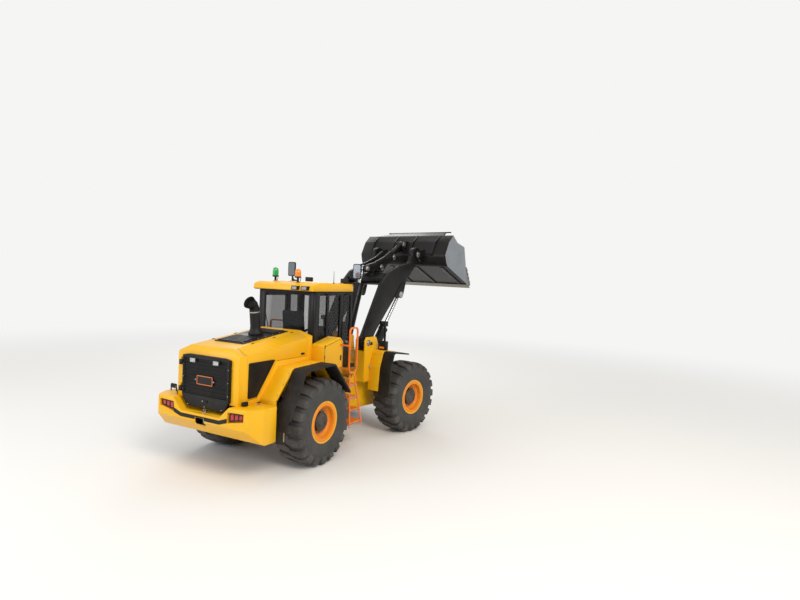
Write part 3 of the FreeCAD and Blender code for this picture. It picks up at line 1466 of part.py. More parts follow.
def main():
    build()
    doc.recompute()
    for item in doc.Objects:
        if "Invalid" in item.State or "Error" in item.State:
            raise ValueError(f"{item.Name}: {item.State}")
    for piece in pieces:
        check(piece)
    shapes = [placed(piece) for piece in pieces]
    whole = overall(shapes)
    shift = Vector(-(whole.XMin + whole.XMax) / 2, -(whole.YMin + whole.YMax) / 2, -whole.ZMin)
    os.makedirs("parts", exist_ok=True)
    for piece, shape in zip(pieces, shapes):
        shape.translate(shift)
        shape.exportStep(f"parts/{piece.name}.step")
    print("shift", shift, "size", whole.XLength, whole.YLength, whole.ZLength, "pieces", len(pieces))


main()
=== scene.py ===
import math

import bmesh
import bpy
from mathutils import Matrix, Vector


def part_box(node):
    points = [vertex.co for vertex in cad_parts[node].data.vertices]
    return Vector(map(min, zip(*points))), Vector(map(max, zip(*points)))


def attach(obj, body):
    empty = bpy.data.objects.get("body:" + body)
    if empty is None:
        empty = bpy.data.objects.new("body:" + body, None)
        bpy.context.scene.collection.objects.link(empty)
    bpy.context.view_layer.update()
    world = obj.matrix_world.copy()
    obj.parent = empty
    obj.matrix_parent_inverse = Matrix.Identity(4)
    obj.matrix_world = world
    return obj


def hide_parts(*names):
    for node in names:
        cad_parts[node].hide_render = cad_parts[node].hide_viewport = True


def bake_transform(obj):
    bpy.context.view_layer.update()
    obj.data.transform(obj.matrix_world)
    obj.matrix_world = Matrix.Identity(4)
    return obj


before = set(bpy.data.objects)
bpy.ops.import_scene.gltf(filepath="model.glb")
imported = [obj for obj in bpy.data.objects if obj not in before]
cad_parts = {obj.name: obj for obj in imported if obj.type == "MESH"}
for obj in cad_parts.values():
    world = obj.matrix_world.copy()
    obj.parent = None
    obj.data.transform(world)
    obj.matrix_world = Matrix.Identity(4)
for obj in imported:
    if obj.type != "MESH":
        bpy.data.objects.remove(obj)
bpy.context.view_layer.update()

# The machine's own frame: X forward, Y left, Z up, zero on the ground under the articulation pin, in metres.
AHEAD, LEFT, UP = Vector((1, 0, 0)), Vector((0, 1, 0)), Vector((0, 0, 1))
SIDES = (("left", 1), ("right", -1))

# Driving places: the axles, the wheels, the articulation at rest and the faces that pieces sit on.
AXLE_REACH = 1.65
HALF_TRACK = 1.055
TYRE_RADIUS = 0.8
LUGS = 20
STEERED_DEGREES = -10
HOOD_SIDE = 0.72
HOOD_REAR, HOOD_SLOPE_DEGREES = (-3.18, 0, 2.205), -7
GRILLE_FACE = -3.2995
WEIGHT_FACE = -3.3995
CAB_FLOOR = 1.64
CAB_REAR = -1.27
ROOF_TOP = 3.344
# Each step: its height and its front edge.
STEPS = [(0.558 + 0.262 * k, -0.3 - 0.085 * k) for k in range(4)]

# The linkage's pins in the front frame: forward and up.
BOOM_FOOT, BOOM_CRANK = (0.68, 2.05), (1.7, 3.76)
LIFT_FOOT, LIFT_EYE = (0.78, 1.5), (1.85, 3.13)
TILT_FOOT, TILT_EYE = (0.77, 2.104), (1.205, 3.71)
CRANK_LINK, LINK_BUCKET = (2.16, 4.04), (2.6, 4.375)
BUCKET_PIN = (2.42, 4.12)
# The bucket as it hangs in the photo: how far it tips, and its heel from its pin.
BUCKET_TIP_DEGREES, BUCKET_HEEL = 24, (0.313, 0, -0.112)


def at(pin, y=0.0):
    """A pin's place in space, at a distance from the machine's middle."""
    return Vector((pin[0], y, pin[1]))


# The rear left wheel centre is known in both frames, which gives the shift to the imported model's frame.
rim_low, rim_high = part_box("rim_rear_left")
SHIFT = (rim_low + rim_high) / 2 - Vector((-AXLE_REACH, HALF_TRACK, TYRE_RADIUS))
STEERED = Matrix.Rotation(math.radians(STEERED_DEGREES), 4, "Z")
REAR = Matrix.Translation(SHIFT)
FRONT = REAR @ STEERED
TIPPED = Matrix.Rotation(math.radians(BUCKET_TIP_DEGREES), 4, "Y")
BUCKET = FRONT @ Matrix.Translation(at(BUCKET_PIN)) @ TIPPED @ Matrix.Translation(BUCKET_HEEL)
HOOD = REAR @ Matrix.Translation(HOOD_REAR) @ Matrix.Rotation(math.radians(HOOD_SLOPE_DEGREES), 4, "Y")


def linear(code):
    """A colour written as sRGB hex, turned to the linear values that shaders use."""
    parts = [int(code[i:i + 2], 16) / 255 for i in (1, 3, 5)]
    return tuple(p / 12.92 if p <= 0.04045 else ((p + 0.055) / 1.055) ** 2.4 for p in parts) + (1.0,)


def add(tree, kind, inputs=(), **settings):
    """A node with its settings, each input given a value or linked from another node's output."""
    made = tree.nodes.new(kind)
    for name, value in settings.items():
        setattr(made, name, value)
    for name, value in dict(inputs).items():
        if isinstance(value, bpy.types.NodeSocket):
            tree.links.new(value, made.inputs[name])
        else:
            made.inputs[name].default_value = value
    return made


# Quarry sand on paint and steel; a greyer dust on tyres; stone meal in the bucket's scratches.
SAND, TYRE_DUST, STONE_MEAL = "#A89678", "#8E8880", "#5E5A54"
BLOT_MM = 312.5
# A moulded or woven grain is too fine to show in the render, so each speck is drawn four times as wide.
SPECK_GRAINS = 4
finishes = {}


def finish(name, slot, code, rough, metal=0.0, coat=0.0, clear=0.0, specular=0.5, dust=0.0, dust_code=SAND,
           grain=0.0, grain_mm=1.5):
    """A surface: its colour and gloss, quarry dust that thickens low down, and a fine grain."""
    made = bpy.data.materials.new(name)
    made.use_nodes = True
    tree = made.node_tree
    shader = tree.nodes["Principled BSDF"]
    values = {"Base Color": linear(code), "Roughness": rough, "Metallic": metal, "Coat Weight": coat,
              "Transmission Weight": clear, "Specular IOR Level": specular}
    for socket, value in values.items():
        shader.inputs[socket].default_value = value
    place = add(tree, "ShaderNodeTexCoord").outputs["Object"]
    if dust:
        # Thickest at the ground, a third as thick from the cab's windows up, in blots about 30 cm across.
        blots = add(tree, "ShaderNodeTexNoise", {"Vector": place, "Scale": 1000 / BLOT_MM, "Detail": 7.0,
                                                 "Roughness": 0.62})
        height = add(tree, "ShaderNodeSeparateXYZ", {"Vector": place}).outputs["Z"]
        low = add(tree, "ShaderNodeMapRange", {"Value": height, "From Min": 0.1, "From Max": 2.6,
                                               "To Min": 1.0, "To Max": 0.3})
        patches = add(tree, "ShaderNodeMapRange", {"Value": blots.outputs["Fac"], "From Min": 0.4,
                                                   "From Max": 0.72, "To Min": 0.12, "To Max": 1.0})
        amount = add(tree, "ShaderNodeMath", {0: low.outputs["Result"], 1: patches.outputs["Result"]},
                     operation="MULTIPLY")
        thick = add(tree, "ShaderNodeMath", {0: amount.outputs[0], 1: dust}, operation="MULTIPLY")
        coloured = add(tree, "ShaderNodeMix", {0: thick.outputs[0], 6: linear(code), 7: linear(dust_code)},
                       data_type="RGBA")
        tree.links.new(coloured.outputs[2], shader.inputs["Base Color"])
        dulled = add(tree, "ShaderNodeMapRange", {"Value": thick.outputs[0], "To Min": rough, "To Max": 0.9})
        tree.links.new(dulled.outputs["Result"], shader.inputs["Roughness"])
    if grain:
        specks = add(tree, "ShaderNodeTexNoise", {"Vector": place, "Scale": 1000 / grain_mm / SPECK_GRAINS,
                                                  "Detail": 3.0})
        bump = add(tree, "ShaderNodeBump", {"Height": specks.outputs["Fac"], "Strength": grain,
                                            "Distance": grain_mm / 1000})
        tree.links.new(bump.outputs["Normal"], shader.inputs["Normal"])
    finishes[name] = (made, slot)
    return name


# Two-pack enamel over steel: deep orange-yellow with a soft, wide highlight, dusty towards the ground.
YELLOW = finish("yellow_enamel", "yellow_paint", "#EEB30D", 0.36, specular=0.35, dust=0.1)
# The wheels' enamel: more orange than the body's yellow, as painted shade for the shadow in the rims' dishes;
# dulled by road dust.
SHADED_WHEEL = finish("wheel_enamel_painted_shade", "rim_paint", "#EE8A06", 0.42, specular=0.35, dust=0.15)
# Safety-orange powder coat on rails and steps: even and satin.
ORANGE = finish("orange_powder_coat", "rim_paint", "#E8730A", 0.42, dust=0.3)
# Satin chassis enamel: nearly black, its highlights soft and weak.
BLACK = finish("black_satin_enamel", "black_paint", "#121214", 0.36, specular=0.22, dust=0.06)
# The bucket's black enamel: a little darker and dustier.
SCUFFED = finish("scuffed_black_enamel", "black_paint", "#101012", 0.36, specular=0.22, dust=0.07)
# Bucket steel rubbed bare by stone: pale and metallic, clouded by stone meal in the scratches.
SCRAPED = finish("scraped_steel", "worn_steel", "#90949A", 0.34, metal=0.85, dust=0.75, dust_code=STONE_MEAL,
                 grain=0.4, grain_mm=6.0)
# Soot and painted shade in the exhaust's mouth: near black for the sooted, shadowed bore, hardly any light
# comes back.
SOOT_AND_SHADE = finish("soot_and_painted_shade", "black_paint", "#050505", 0.95)
# Moulded polypropylene: fine leather-like grain and hardly any gloss.
PLASTIC = finish("moulded_polypropylene", "plastic", "#151517", 0.5, specular=0.25, dust=0.07, grain=0.2,
                 grain_mm=2.0)
# Moulded tyre compound: carbon-black rubber gone grey, with dust in every recess.
TYRE = finish("tyre_compound", "tyre", "#383838", 0.78, dust=0.14, dust_code=TYRE_DUST, grain=0.35,
              grain_mm=4.0)
# The same compound where the ground scours it: rougher and dustier.
TREAD = finish("tread_compound", "tyre", "#383736", 0.86, dust=0.36, dust_code=TYRE_DUST, grain=0.4,
               grain_mm=5.0)
# Moulded mudguard rubber: matt black.
RUBBER = finish("mudguard_rubber", "rubber", "#141415", 0.6, specular=0.25, dust=0.1, grain=0.2, grain_mm=3.0)
# Tinted toughened glass: a thin dark tint, clear square on and denser at a slant.
GLASS = finish("tinted_glass", "glass", "#0A0F0D", 0.02, specular=0.6)
pane = finishes[GLASS][0].node_tree
slant = add(pane, "ShaderNodeLayerWeight", {"Blend": 0.25})
tint = add(pane, "ShaderNodeMapRange", {"Value": slant.outputs["Fresnel"], "To Min": 0.2, "To Max": 0.6})
pane.links.new(tint.outputs["Result"], pane.nodes["Principled BSDF"].inputs["Alpha"])
# Hard-chromed and ground piston rod, a little dull from work outdoors: pale grey with a long highlight.
CHROME = finish("hard_chrome", "chrome", "#A4A7AA", 0.26, metal=1.0)
# Rolled steel scratched bright by gravel.
STEEL = finish("gravel_worn_steel", "worn_steel", "#8C8880", 0.42, metal=0.85, dust=0.35)
# Zinc-plated bolts: small pale glints.
ZINC = finish("zinc_plate", "worn_steel", "#A7A7A2", 0.38, metal=0.9)
# Galvanised tread plate on the steps: dull grey with a broad sheen.
TREADPLATE = finish("galvanised_tread_plate", "worn_steel", "#8E9293", 0.5, metal=0.6, dust=0.3)
# Casting enamel on axles, hubs and engine: dark grey over a sand-cast grain.
CAST = finish("casting_enamel", "cast_grey", "#1E1E1F", 0.55, dust=0.3, grain=0.3, grain_mm=3.0)
# Clear moulded polycarbonate: shows the bowl behind it under a glossy skin.
CLEAR = finish("clear_polycarbonate", "lamp", "#E4E7E8", 0.1, coat=0.5, clear=0.6)
# Vacuum-metallised lamp bowl: silver bright.
REFLECTOR = finish("bright_reflector", "lamp", "#DADDE0", 0.15, metal=1.0)
# Moulded polycarbonate lenses dyed through: saturated, with a glossy skin.
RED = finish("red_polycarbonate", "tail_lens", "#B3120C", 0.18, coat=0.5)
AMBER = finish("amber_polycarbonate", "beacon_lens", "#F08A0A", 0.18, coat=0.5)
GREEN = finish("green_polycarbonate", "beacon_lens", "#12A344", 0.18, coat=0.5)
# Woven seat cloth: matt, with the weave just showing.
CLOTH = finish("woven_seat_cloth", "cushion", "#2B2D30", 0.9, grain=0.5, grain_mm=3.0)
# Silvered mirror glass under a film of dust: a grey face with a sharp sheen.
MIRROR = finish("silvered_glass", "chrome", "#6E767B", 0.08, metal=0.2)
# Ground pin ends: bright bare steel.
PIN = finish("ground_pin_steel", "worn_steel", "#B0AFAA", 0.3, metal=0.95)


# A turned profile that meets its axis ends in a disc this small, so that no edge has length zero.
NEEDLE = 0.0001


class Work:
    """A piece in the making: blocks, plates, rods, turned rings and pipes in one mesh."""

    def __init__(self, name, look, body="rear_frame", place=REAR):
        self.name, self.look, self.body, self.place = name, look, body, place
        self.mesh = bmesh.new()

    def skin(self, rings, looped=False):
        """Join rings of corner points into a skin, its ends capped or, if looped, joined to each other."""
        rows = [[self.mesh.verts.new(p) for p in ring] for ring in rings]
        for a, b in zip(rows, rows[1:] + rows[:1] if looped else rows[1:]):
            for i in range(len(a)):
                j = (i + 1) % len(a)
                self.mesh.faces.new((a[i], a[j], b[j], b[i]))
        if not looped:
            self.mesh.faces.new(rows[0][::-1])
            self.mesh.faces.new(rows[-1])
        return self

    def plate(self, axis, outline, low, high):
        """A flat outline given thickness along X, Y or Z; it is drawn on the two other axes in order."""
        return self.skin([raised(axis, outline, low), raised(axis, outline, high)])

    def hoop(self, axis, outline, width, low, high):
        """A flat ring between an outline and the same one drawn in."""
        inner = inset(outline, width)
        return self.skin([raised(axis, outline, low), raised(axis, outline, high), raised(axis, inner, high),
                          raised(axis, inner, low)], looped=True)

    def block(self, low, high):
        """A box between two opposite corners."""
        return self.plate("z", oblong(low[0], high[0], low[1], high[1]), low[2], high[2])

    def rod(self, start, end, radius, sides=20):
        """A plain round bar."""
        run = Vector(end) - Vector(start)
        return self.turn(start, run, ((0, radius), (run.length, radius)), sides)

    def turn(self, centre, axis, profile, sides=32, ring=False):
        """A profile of (distance along, radius) pairs turned about an axis."""
        axis = Vector(axis).normalized()
        u = axis.orthogonal().normalized()
        return self.skin([circle(Vector(centre) + axis * along, max(radius, NEEDLE), sides, u, axis.cross(u))
                          for along, radius in profile], looped=ring)

    def pipe(self, points, radius, sides=8, corner=0.0):
        """A tube along a route, its corners bent to a radius."""
        route = [Vector(p) for p in points]
        if corner:
            route = bent(route, corner)
        rings = []
        side = (route[1] - route[0]).orthogonal().normalized()
        for i, p in enumerate(route):
            ahead = (route[min(i + 1, len(route) - 1)] - route[max(i - 1, 0)]).normalized()
            side = (side - ahead * side.dot(ahead)).normalized()
            rings.append(circle(p, radius, sides, side, ahead.cross(side)))
        return self.skin(rings)

    def bolt(self, centre, axis, across, high):
        """A hexagon head on its washer."""
        washer, washer_high, overlap = across * 0.62, 0.004, 0.001
        self.turn(centre, axis, ((0, washer), (washer_high, washer)), 16)
        return self.turn(centre, axis, ((washer_high - overlap, across / 2), (high, across / 2)), 6)

    def bolts(self, spots, axis, across, high):
        """The same bolt at each spot."""
        for spot in spots:
            self.bolt(spot, axis, across, high)
        return self

    def done(self, bevel=0.0, angle=35, stands_for=()):
        """Make the object: its finish, soft edges, the body it rides on and the CAD pieces it stands for."""
        bmesh.ops.recalc_face_normals(self.mesh, faces=self.mesh.faces)
        data = bpy.data.meshes.new(self.name)
        self.mesh.to_mesh(data)
        self.mesh.free()
        data.transform(self.place)
        piece = bpy.data.objects.new(self.name, data)
        bpy.context.scene.collection.objects.link(piece)
        look, slot = finishes[self.look]
        surface(piece, look, angle)
        if bevel:
            soften(piece, bevel)
        if self.body:
            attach(piece, self.body)
        if stands_for:
            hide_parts(*stands_for)
        return piece


def span(side, near, far):
    """Two distances outward on one side of the machine, the lower number first."""
    return sorted((side * near, side * far))


def circle(centre, radius, count, u, v, first=0.0):
    """Evenly spaced points of a circle in the plane of u and v, the first one a share of the pitch on."""
    turns = (2 * math.pi * (k + first) / count for k in range(count))
    return [Vector(centre) + (u * math.cos(a) + v * math.sin(a)) * radius for a in turns]


def along(start, end, count):
    """Evenly spaced points from one end to the other."""
    return [Vector(start).lerp(Vector(end), k / (count - 1)) for k in range(count)]


def raised(axis, outline, level):
    """An outline's points in space, at one level along an axis."""
    slot = "xyz".index(axis)
    return [Vector((*p[:slot], level, *p[slot:])) for p in (tuple(q) for q in outline)]


def corners(points):
    """Each point of a closed outline with the one before it and the one after."""
    return zip(points[-1:] + points[:-1], points, points[1:] + points[:1])


def curve(before, here, after, radius, share, steps):
    """A corner turned into a small curve that takes no more than a share of either side."""
    reach = min(radius, (before - here).length * share, (after - here).length * share)
    first = here + (before - here).normalized() * reach
    last = here + (after - here).normalized() * reach
    return [first * (1 - t) ** 2 + here * (2 * t * (1 - t)) + last * t * t
            for t in (k / steps for k in range(steps + 1))]


def bent(points, radius):
    """A route of straight runs with each corner bent to a radius."""
    route = [points[0]]
    for before, here, after in zip(points, points[1:], points[2:]):
        route += curve(before, here, after, radius, 0.49, 6)
    return route + [points[-1]]


def rounded(outline, radius, steps=4):
    """The same outline with each corner turned into a small curve."""
    points = [Vector(p) for p in outline]
    return [tuple(p) for corner in corners(points) for p in curve(*corner, radius, 0.45, steps)]


def sagging(points, steps=8):
    """A smooth line through the points, as a hose lies."""
    knots = [Vector(p) for p in (points[0], *points, points[-1])]
    route = []
    for a, b, c, d in zip(knots, knots[1:], knots[2:], knots[3:]):
        for k in range(steps):
            t = k / steps
            route.append(0.5 * (2 * b + (c - a) * t + (2 * a - 5 * b + 4 * c - d) * t * t
                                + (3 * b - a - 3 * c + d) * t ** 3))
    return route + [knots[-1]]


def inset(outline, reach):
    """The same outline drawn in on every side, or out if the reach is negative."""
    points = [Vector(p) for p in outline]
    area = sum(a.x * b.y - b.x * a.y for a, b in zip(points, points[1:] + points[:1]))
    sign = 1 if area > 0 else -1
    made = []
    for before, here, after in corners(points):
        into, on = (here - before).normalized(), (after - here).normalized()
        one, two = Vector((-into.y, into.x)) * sign, Vector((-on.y, on.x)) * sign
        # A corner sharper than this is blunted, so that its point doesn't run away.
        sharpest = 0.2
        made.append(tuple(here + (one + two) * (reach / max(sharpest, 1 + one.dot(two)))))
    return made


def oblong(a0, a1, b0, b1, radius=0.0):
    """A rectangle's corners, rounded if a radius is given."""
    outline = ((a0, b0), (a1, b0), (a1, b1), (a0, b1))
    return rounded(outline, radius) if radius else outline


def mirrored(outline, side):
    """An outline whose first numbers are distances outward, put on one side of the machine."""
    return [(side * p[0], p[1]) for p in outline]


def surface(piece, look, angle):
    """One finish over the whole piece, smooth but for the edges sharper than an angle."""
    piece.data.materials.clear()
    piece.data.materials.append(look)
    piece.data.polygons.foreach_set("use_smooth", [True] * len(piece.data.polygons))
    piece.data.set_sharp_from_angle(angle=math.radians(angle))


def soften(piece, width):
    """A small rounding on every hard edge, as paint and grinding leave it."""
    edge = piece.modifiers.new("edge", "BEVEL")
    edge.width = width
    edge.segments = 2
    edge.limit_method = "ANGLE"
    edge.angle_limit = math.radians(30)
    edge.harden_normals = True


def dress(node, look, bevel=0.0):
    """Give a CAD node its finish and soft edges."""
    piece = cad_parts[node]
    surface(piece, finishes[look][0], 32)
    if bevel:
        weld = piece.modifiers.new("weld", "WELD")
        weld.merge_threshold = 0.00005
        soften(piece, bevel)


# The CAD pieces by finish, each with the rounding of its edges in metres.
DRESS = {
    YELLOW: {"counterweight": 0.012, "hood_frame": 0.008, "rear_fenders": 0.004, "side_boxes": 0.006,
             "cab_roof": 0.015, "hood_door_left": 0.004, "hood_door_right": 0.004, "front_chassis": 0.004,
             "front_fenders": 0.004},
    BLACK: {"rear_chassis": 0.004, "cab_floor": 0.003, "cab_rear_frame": 0.006, "cab_front_frame": 0.006,
            "cab_sides": 0.005, "cab_door": 0.005, "hood_louvre": 0.003, "side_grille_left": 0.003,
            "side_grille_right": 0.003, "grille_door": 0.006, "boom": 0.005, "bellcrank": 0.006,
            "bucket_link": 0.005, "tilt_barrel": 0.003, "lift_barrels": 0.003,
            "steering_barrel_left": 0.002, "steering_barrel_right": 0.002},
    CHROME: {"tilt_rod": 0.001, "lift_rods": 0.001, "steering_rod_left": 0.0, "steering_rod_right": 0.0},
    PLASTIC: {"exhaust_stack": 0.002, "roof_lamps": 0.004, "mirrors": 0.006, "steering_column": 0.004,
              "dash_panel": 0.006, "head_lamps": 0.004},
    RUBBER: {"rear_fender_rubbers": 0.006, "front_fender_rubbers": 0.006},
    GLASS: {"cab_glass": 0.0, "windscreen": 0.0, "cab_door_glass": 0.0},
    CAST: {"rear_axle": 0.006, "front_axle": 0.006, "engine_block": 0.01},
    # The rims: orange enamel as painted shade for their shadowed dishes.
    SHADED_WHEEL: {f"rim_{end}_{side}": 0.003 for end in ("rear", "front") for side in ("left", "right")},
    ORANGE: {"steps": 0.003, "handrails": 0.003},
    SCUFFED: {"bucket": 0.004},
    STEEL: {"bucket_edge": 0.003},
    ZINC: {"tow_pin": 0.002},
    RED: {"tail_lamps": 0.003},
    CLOTH: {"seat": 0.02},
}


def lug(work, centre, angle, side):
    """One tread block: across the crown from the middle, over the shoulder and down the sidewall."""
    # Each row: distance from the middle, top and base radius, lean along the tread, half width there.
    stations = ((-0.036, 0.797, 0.745, -0.05, 0.034), (0.03, 0.8, 0.745, -0.026, 0.064),
                (0.13, 0.799, 0.745, 0.0, 0.07), (0.225, 0.793, 0.735, 0.004, 0.0725),
                (0.283, 0.772, 0.70, 0.004, 0.074), (0.302, 0.722, 0.66, 0.004, 0.066),
                (0.302, 0.66, 0.61, 0.004, 0.054))
    flare, shoulder, sunk = 1.12, 0.29, 0.014
    rings = []
    for across, top, base, turn, half in stations:
        ring = []
        for radius, edge in ((base, -half * flare), (top, -half), (top, half), (base, half * flare)):
            a = angle + side * turn + edge / TYRE_RADIUS
            lean = sunk if radius == base and across > shoulder else 0
            ring.append(centre + Vector((radius * math.sin(a), side * (across - lean), radius * math.cos(a))))
        rings.append(ring)
    work.skin(rings)


def wheel(name, body, place, x, side):
    """A tyre with its tread blocks, the rim's lock ring, the nuts, the hub cover and the valve."""
    centre, out = Vector((x, side * HALF_TRACK, TYRE_RADIUS)), LEFT * side
    # The casing from one bead to the other: distance along the axle and radius.
    half = ((0.23, 0.352), (0.262, 0.372), (0.268, 0.395), (0.276, 0.41), (0.279, 0.425), (0.285, 0.44),
            (0.292, 0.475), (0.3005, 0.52), (0.301, 0.53), (0.3035, 0.534), (0.3045, 0.56), (0.3045, 0.59),
            (0.302, 0.62), (0.298, 0.628), (0.293, 0.66), (0.278, 0.70), (0.255, 0.732), (0.2, 0.75),
            (0.1, 0.757), (0.0, 0.759))
    section = [(-a, r) for a, r in half] + [(a, r) for a, r in reversed(half[:-1])]
    section += [(0.2, 0.34), (-0.2, 0.34)]
    carcass = Work(f"tyre_{name}_body", TYRE, body, place).turn(centre, LEFT, section, 112, ring=True)
    carcass.done(angle=50, stands_for=(f"tyre_{name}",))
    tread = Work(f"tyre_{name}_tread", TREAD, body, place)
    pitch = 2 * math.pi / LUGS
    for i in range(LUGS):
        for edge, shift in ((-1, pitch / 2), (1, 0)):
            lug(tread, centre, i * pitch + shift, side * edge)
    tread.done(0.006, 30)

    lock_ring = ((0, 0.332), (0.05, 0.336), (0.064, 0.344), (0.072, 0.372), (0.078, 0.384), (0.076, 0.393),
                 (0.066, 0.396), (0.056, 0.39), (0.05, 0.372), (0, 0.356))
    ring = Work(f"lock_ring_{name}", YELLOW, body, place)
    ring.turn(centre + out * 0.19, out, lock_ring, 96, ring=True).done(0.001)
    nuts = Work(f"wheel_nuts_{name}", ZINC, body, place)
    for spot in circle(centre, 0.215, 20, UP, AHEAD, 0.5):
        nuts.bolt(spot + out * 0.112, out, 0.032, 0.026).rod(spot + out * 0.13, spot + out * 0.148, 0.01, 10)
    nuts.done()
    cover = Work(f"hub_cover_{name}", CAST, body, place)
    dome = ((0, 0.185), (0.012, 0.185), (0.02, 0.176), (0.085, 0.174), (0.096, 0.166), (0.104, 0.12),
            (0.112, 0.112), (0.116, 0.06), (0.11, 0))
    cover.turn(centre + out * 0.11, out, dome, 64)
    cover.bolts(circle(centre + out * 0.199, 0.148, 12, UP, AHEAD), out, 0.024, 0.016)
    cover.bolts(circle(centre + out * 0.222, 0.085, 3, UP, AHEAD), out, 0.03, 0.014).done(0.002)
    foot = centre + out * 0.17 + Vector((0.31, 0, 0.06))
    stem = (foot, foot + out * 0.03 - AHEAD * 0.02, foot + out * 0.05 - AHEAD * 0.06 - UP * 0.01)
    Work(f"tyre_valve_{name}", ZINC, body, place).pipe(stem, 0.005).done()


def wheels():
    """All four wheels, each on its own body."""
    for name, side in SIDES:
        wheel(f"rear_{name}", f"wheel_rear_{name}", REAR, -AXLE_REACH, side)
        wheel(f"front_{name}", f"wheel_front_{name}", FRONT, AXLE_REACH, side)


def round_lamp(name, centre, radius):
    """A round lamp on the front frame: dark bezel, bright bowl and a bulging clear glass."""
    depth, lip = 0.012, 0.009
    bezel = ((0, radius + 0.012), (depth, radius + lip), (depth, radius), (0, radius))
    bowl = ((0.001, radius), (0.002, radius * 0.35), (0.0015, 0))
    glass = ((0.003, radius), (depth * 0.7, radius), (depth, radius * 0.8), (depth * 1.15, radius * 0.4),
             (depth * 1.2, 0))
    for part, look, profile, ring in (("bezel", PLASTIC, bezel, True), ("bowl", REFLECTOR, bowl, False),
                                      ("glass", CLEAR, glass, False)):
        made = Work(f"{name}_{part}", look, "front_frame", FRONT)
        made.turn(centre, AHEAD, profile, 40, ring).done()


def counterweight_dress():
    """Rear lamps in dark pods, the dark band between them, black plates of painted shade inside the tow slot,
    and fixings.
    """
    band = Work("counterweight_band", BLACK)
    for name, side in SIDES:
        run = ((0.112, 0.985), (0.46, 0.985), (0.628, 1.036), (0.634, 1.11), (0.452, 1.05), (0.112, 1.05))
        band.plate("x", mirrored(run, side), WEIGHT_FACE - 0.0055, WEIGHT_FACE)
        floor = ((0.645, 1.047), (0.975, 1.113), (0.975, 1.217), (0.658, 1.203))
        lens = ((0.66, 1.065), (0.965, 1.115), (0.965, 1.21), (0.67, 1.2))
        pod = Work(f"lamp_pod_{name}", PLASTIC).plate("x", mirrored(floor, side), -3.3245, -3.3105)
        pod.hoop("x", mirrored(lens, side), 0.013, -3.379, -3.366)
        # Two bars part the pod into three lenses; each starts on the lenses' slanted floor.
        (edge, floor_low), floor_slope = lens[0], 0.164
        for middle in (0.765, 0.862):
            low = floor_low + (middle - edge) * floor_slope
            bar = oblong(side * (middle - 0.009), side * (middle + 0.009), low, 1.206)
            pod.plate("x", bar, -3.378, -3.366)
        pod.done(0.002)
        y = side * 0.775
        Work(f"wing_stop_{name}", RUBBER).block((-3.2, y - 0.03, 1.289), (-3.1, y + 0.03, 1.36)).done(0.006)
    band.plate("x", oblong(-0.112, 0.112, 1.024, 1.05), WEIGHT_FACE - 0.0055, WEIGHT_FACE).done(0.0015)
    # Black plates on the tow slot's back, floor, roof and cheeks: painted shade in the recess.
    lining = Work("tow_slot_painted_shade", BLACK).plate("x", oblong(-0.108, 0.108, 0.902, 1.018), -3.188, -3.182)
    lining.plate("z", oblong(-3.36, -3.185, -0.108, 0.108), 0.9005, 0.9045)
    lining.plate("z", oblong(-3.385, -3.185, -0.108, 0.108), 1.0155, 1.0195)
    cheek = ((-3.36, 0.902), (-3.185, 0.902), (-3.185, 1.018), (-3.385, 1.018), (-3.385, 0.94))
    for _, side in SIDES:
        lining.plate("y", cheek, *span(side, 0.1055, 0.1095))
    lining.done()
    bracket = Work("wing_bracket", PLASTIC)
    loop = ((1.14, 1.285), (1.14, 1.41), (1.0, 1.41), (1.0, 1.285))
    bracket.pipe([(-3.05, y, z) for y, z in loop], 0.011, 10, 0.02)
    bracket.block((-3.062, 1.02, 1.34), (-3.05, 1.12, 1.4)).done()
    turns = circle((0, 0, 0), 1, 20, AHEAD, UP)
    pull = [(-3.29 + 0.02 * p.x, 0, 1.132 + 0.026 * p.z) for p in turns + turns[:1]]
    Work("tow_pin_ring", ZINC).pipe(pull, 0.005).done()
    spots = [(-2.92, side * y, 1.29) for _, side in SIDES for y in (0.62, 0.86)]
    Work("counterweight_bolts", ZINC).bolts(spots, UP, 0.045, 0.022).done()


def grille_piece(name, look):
    """A piece on the grille door."""
    return Work(name, look, "grille_door")


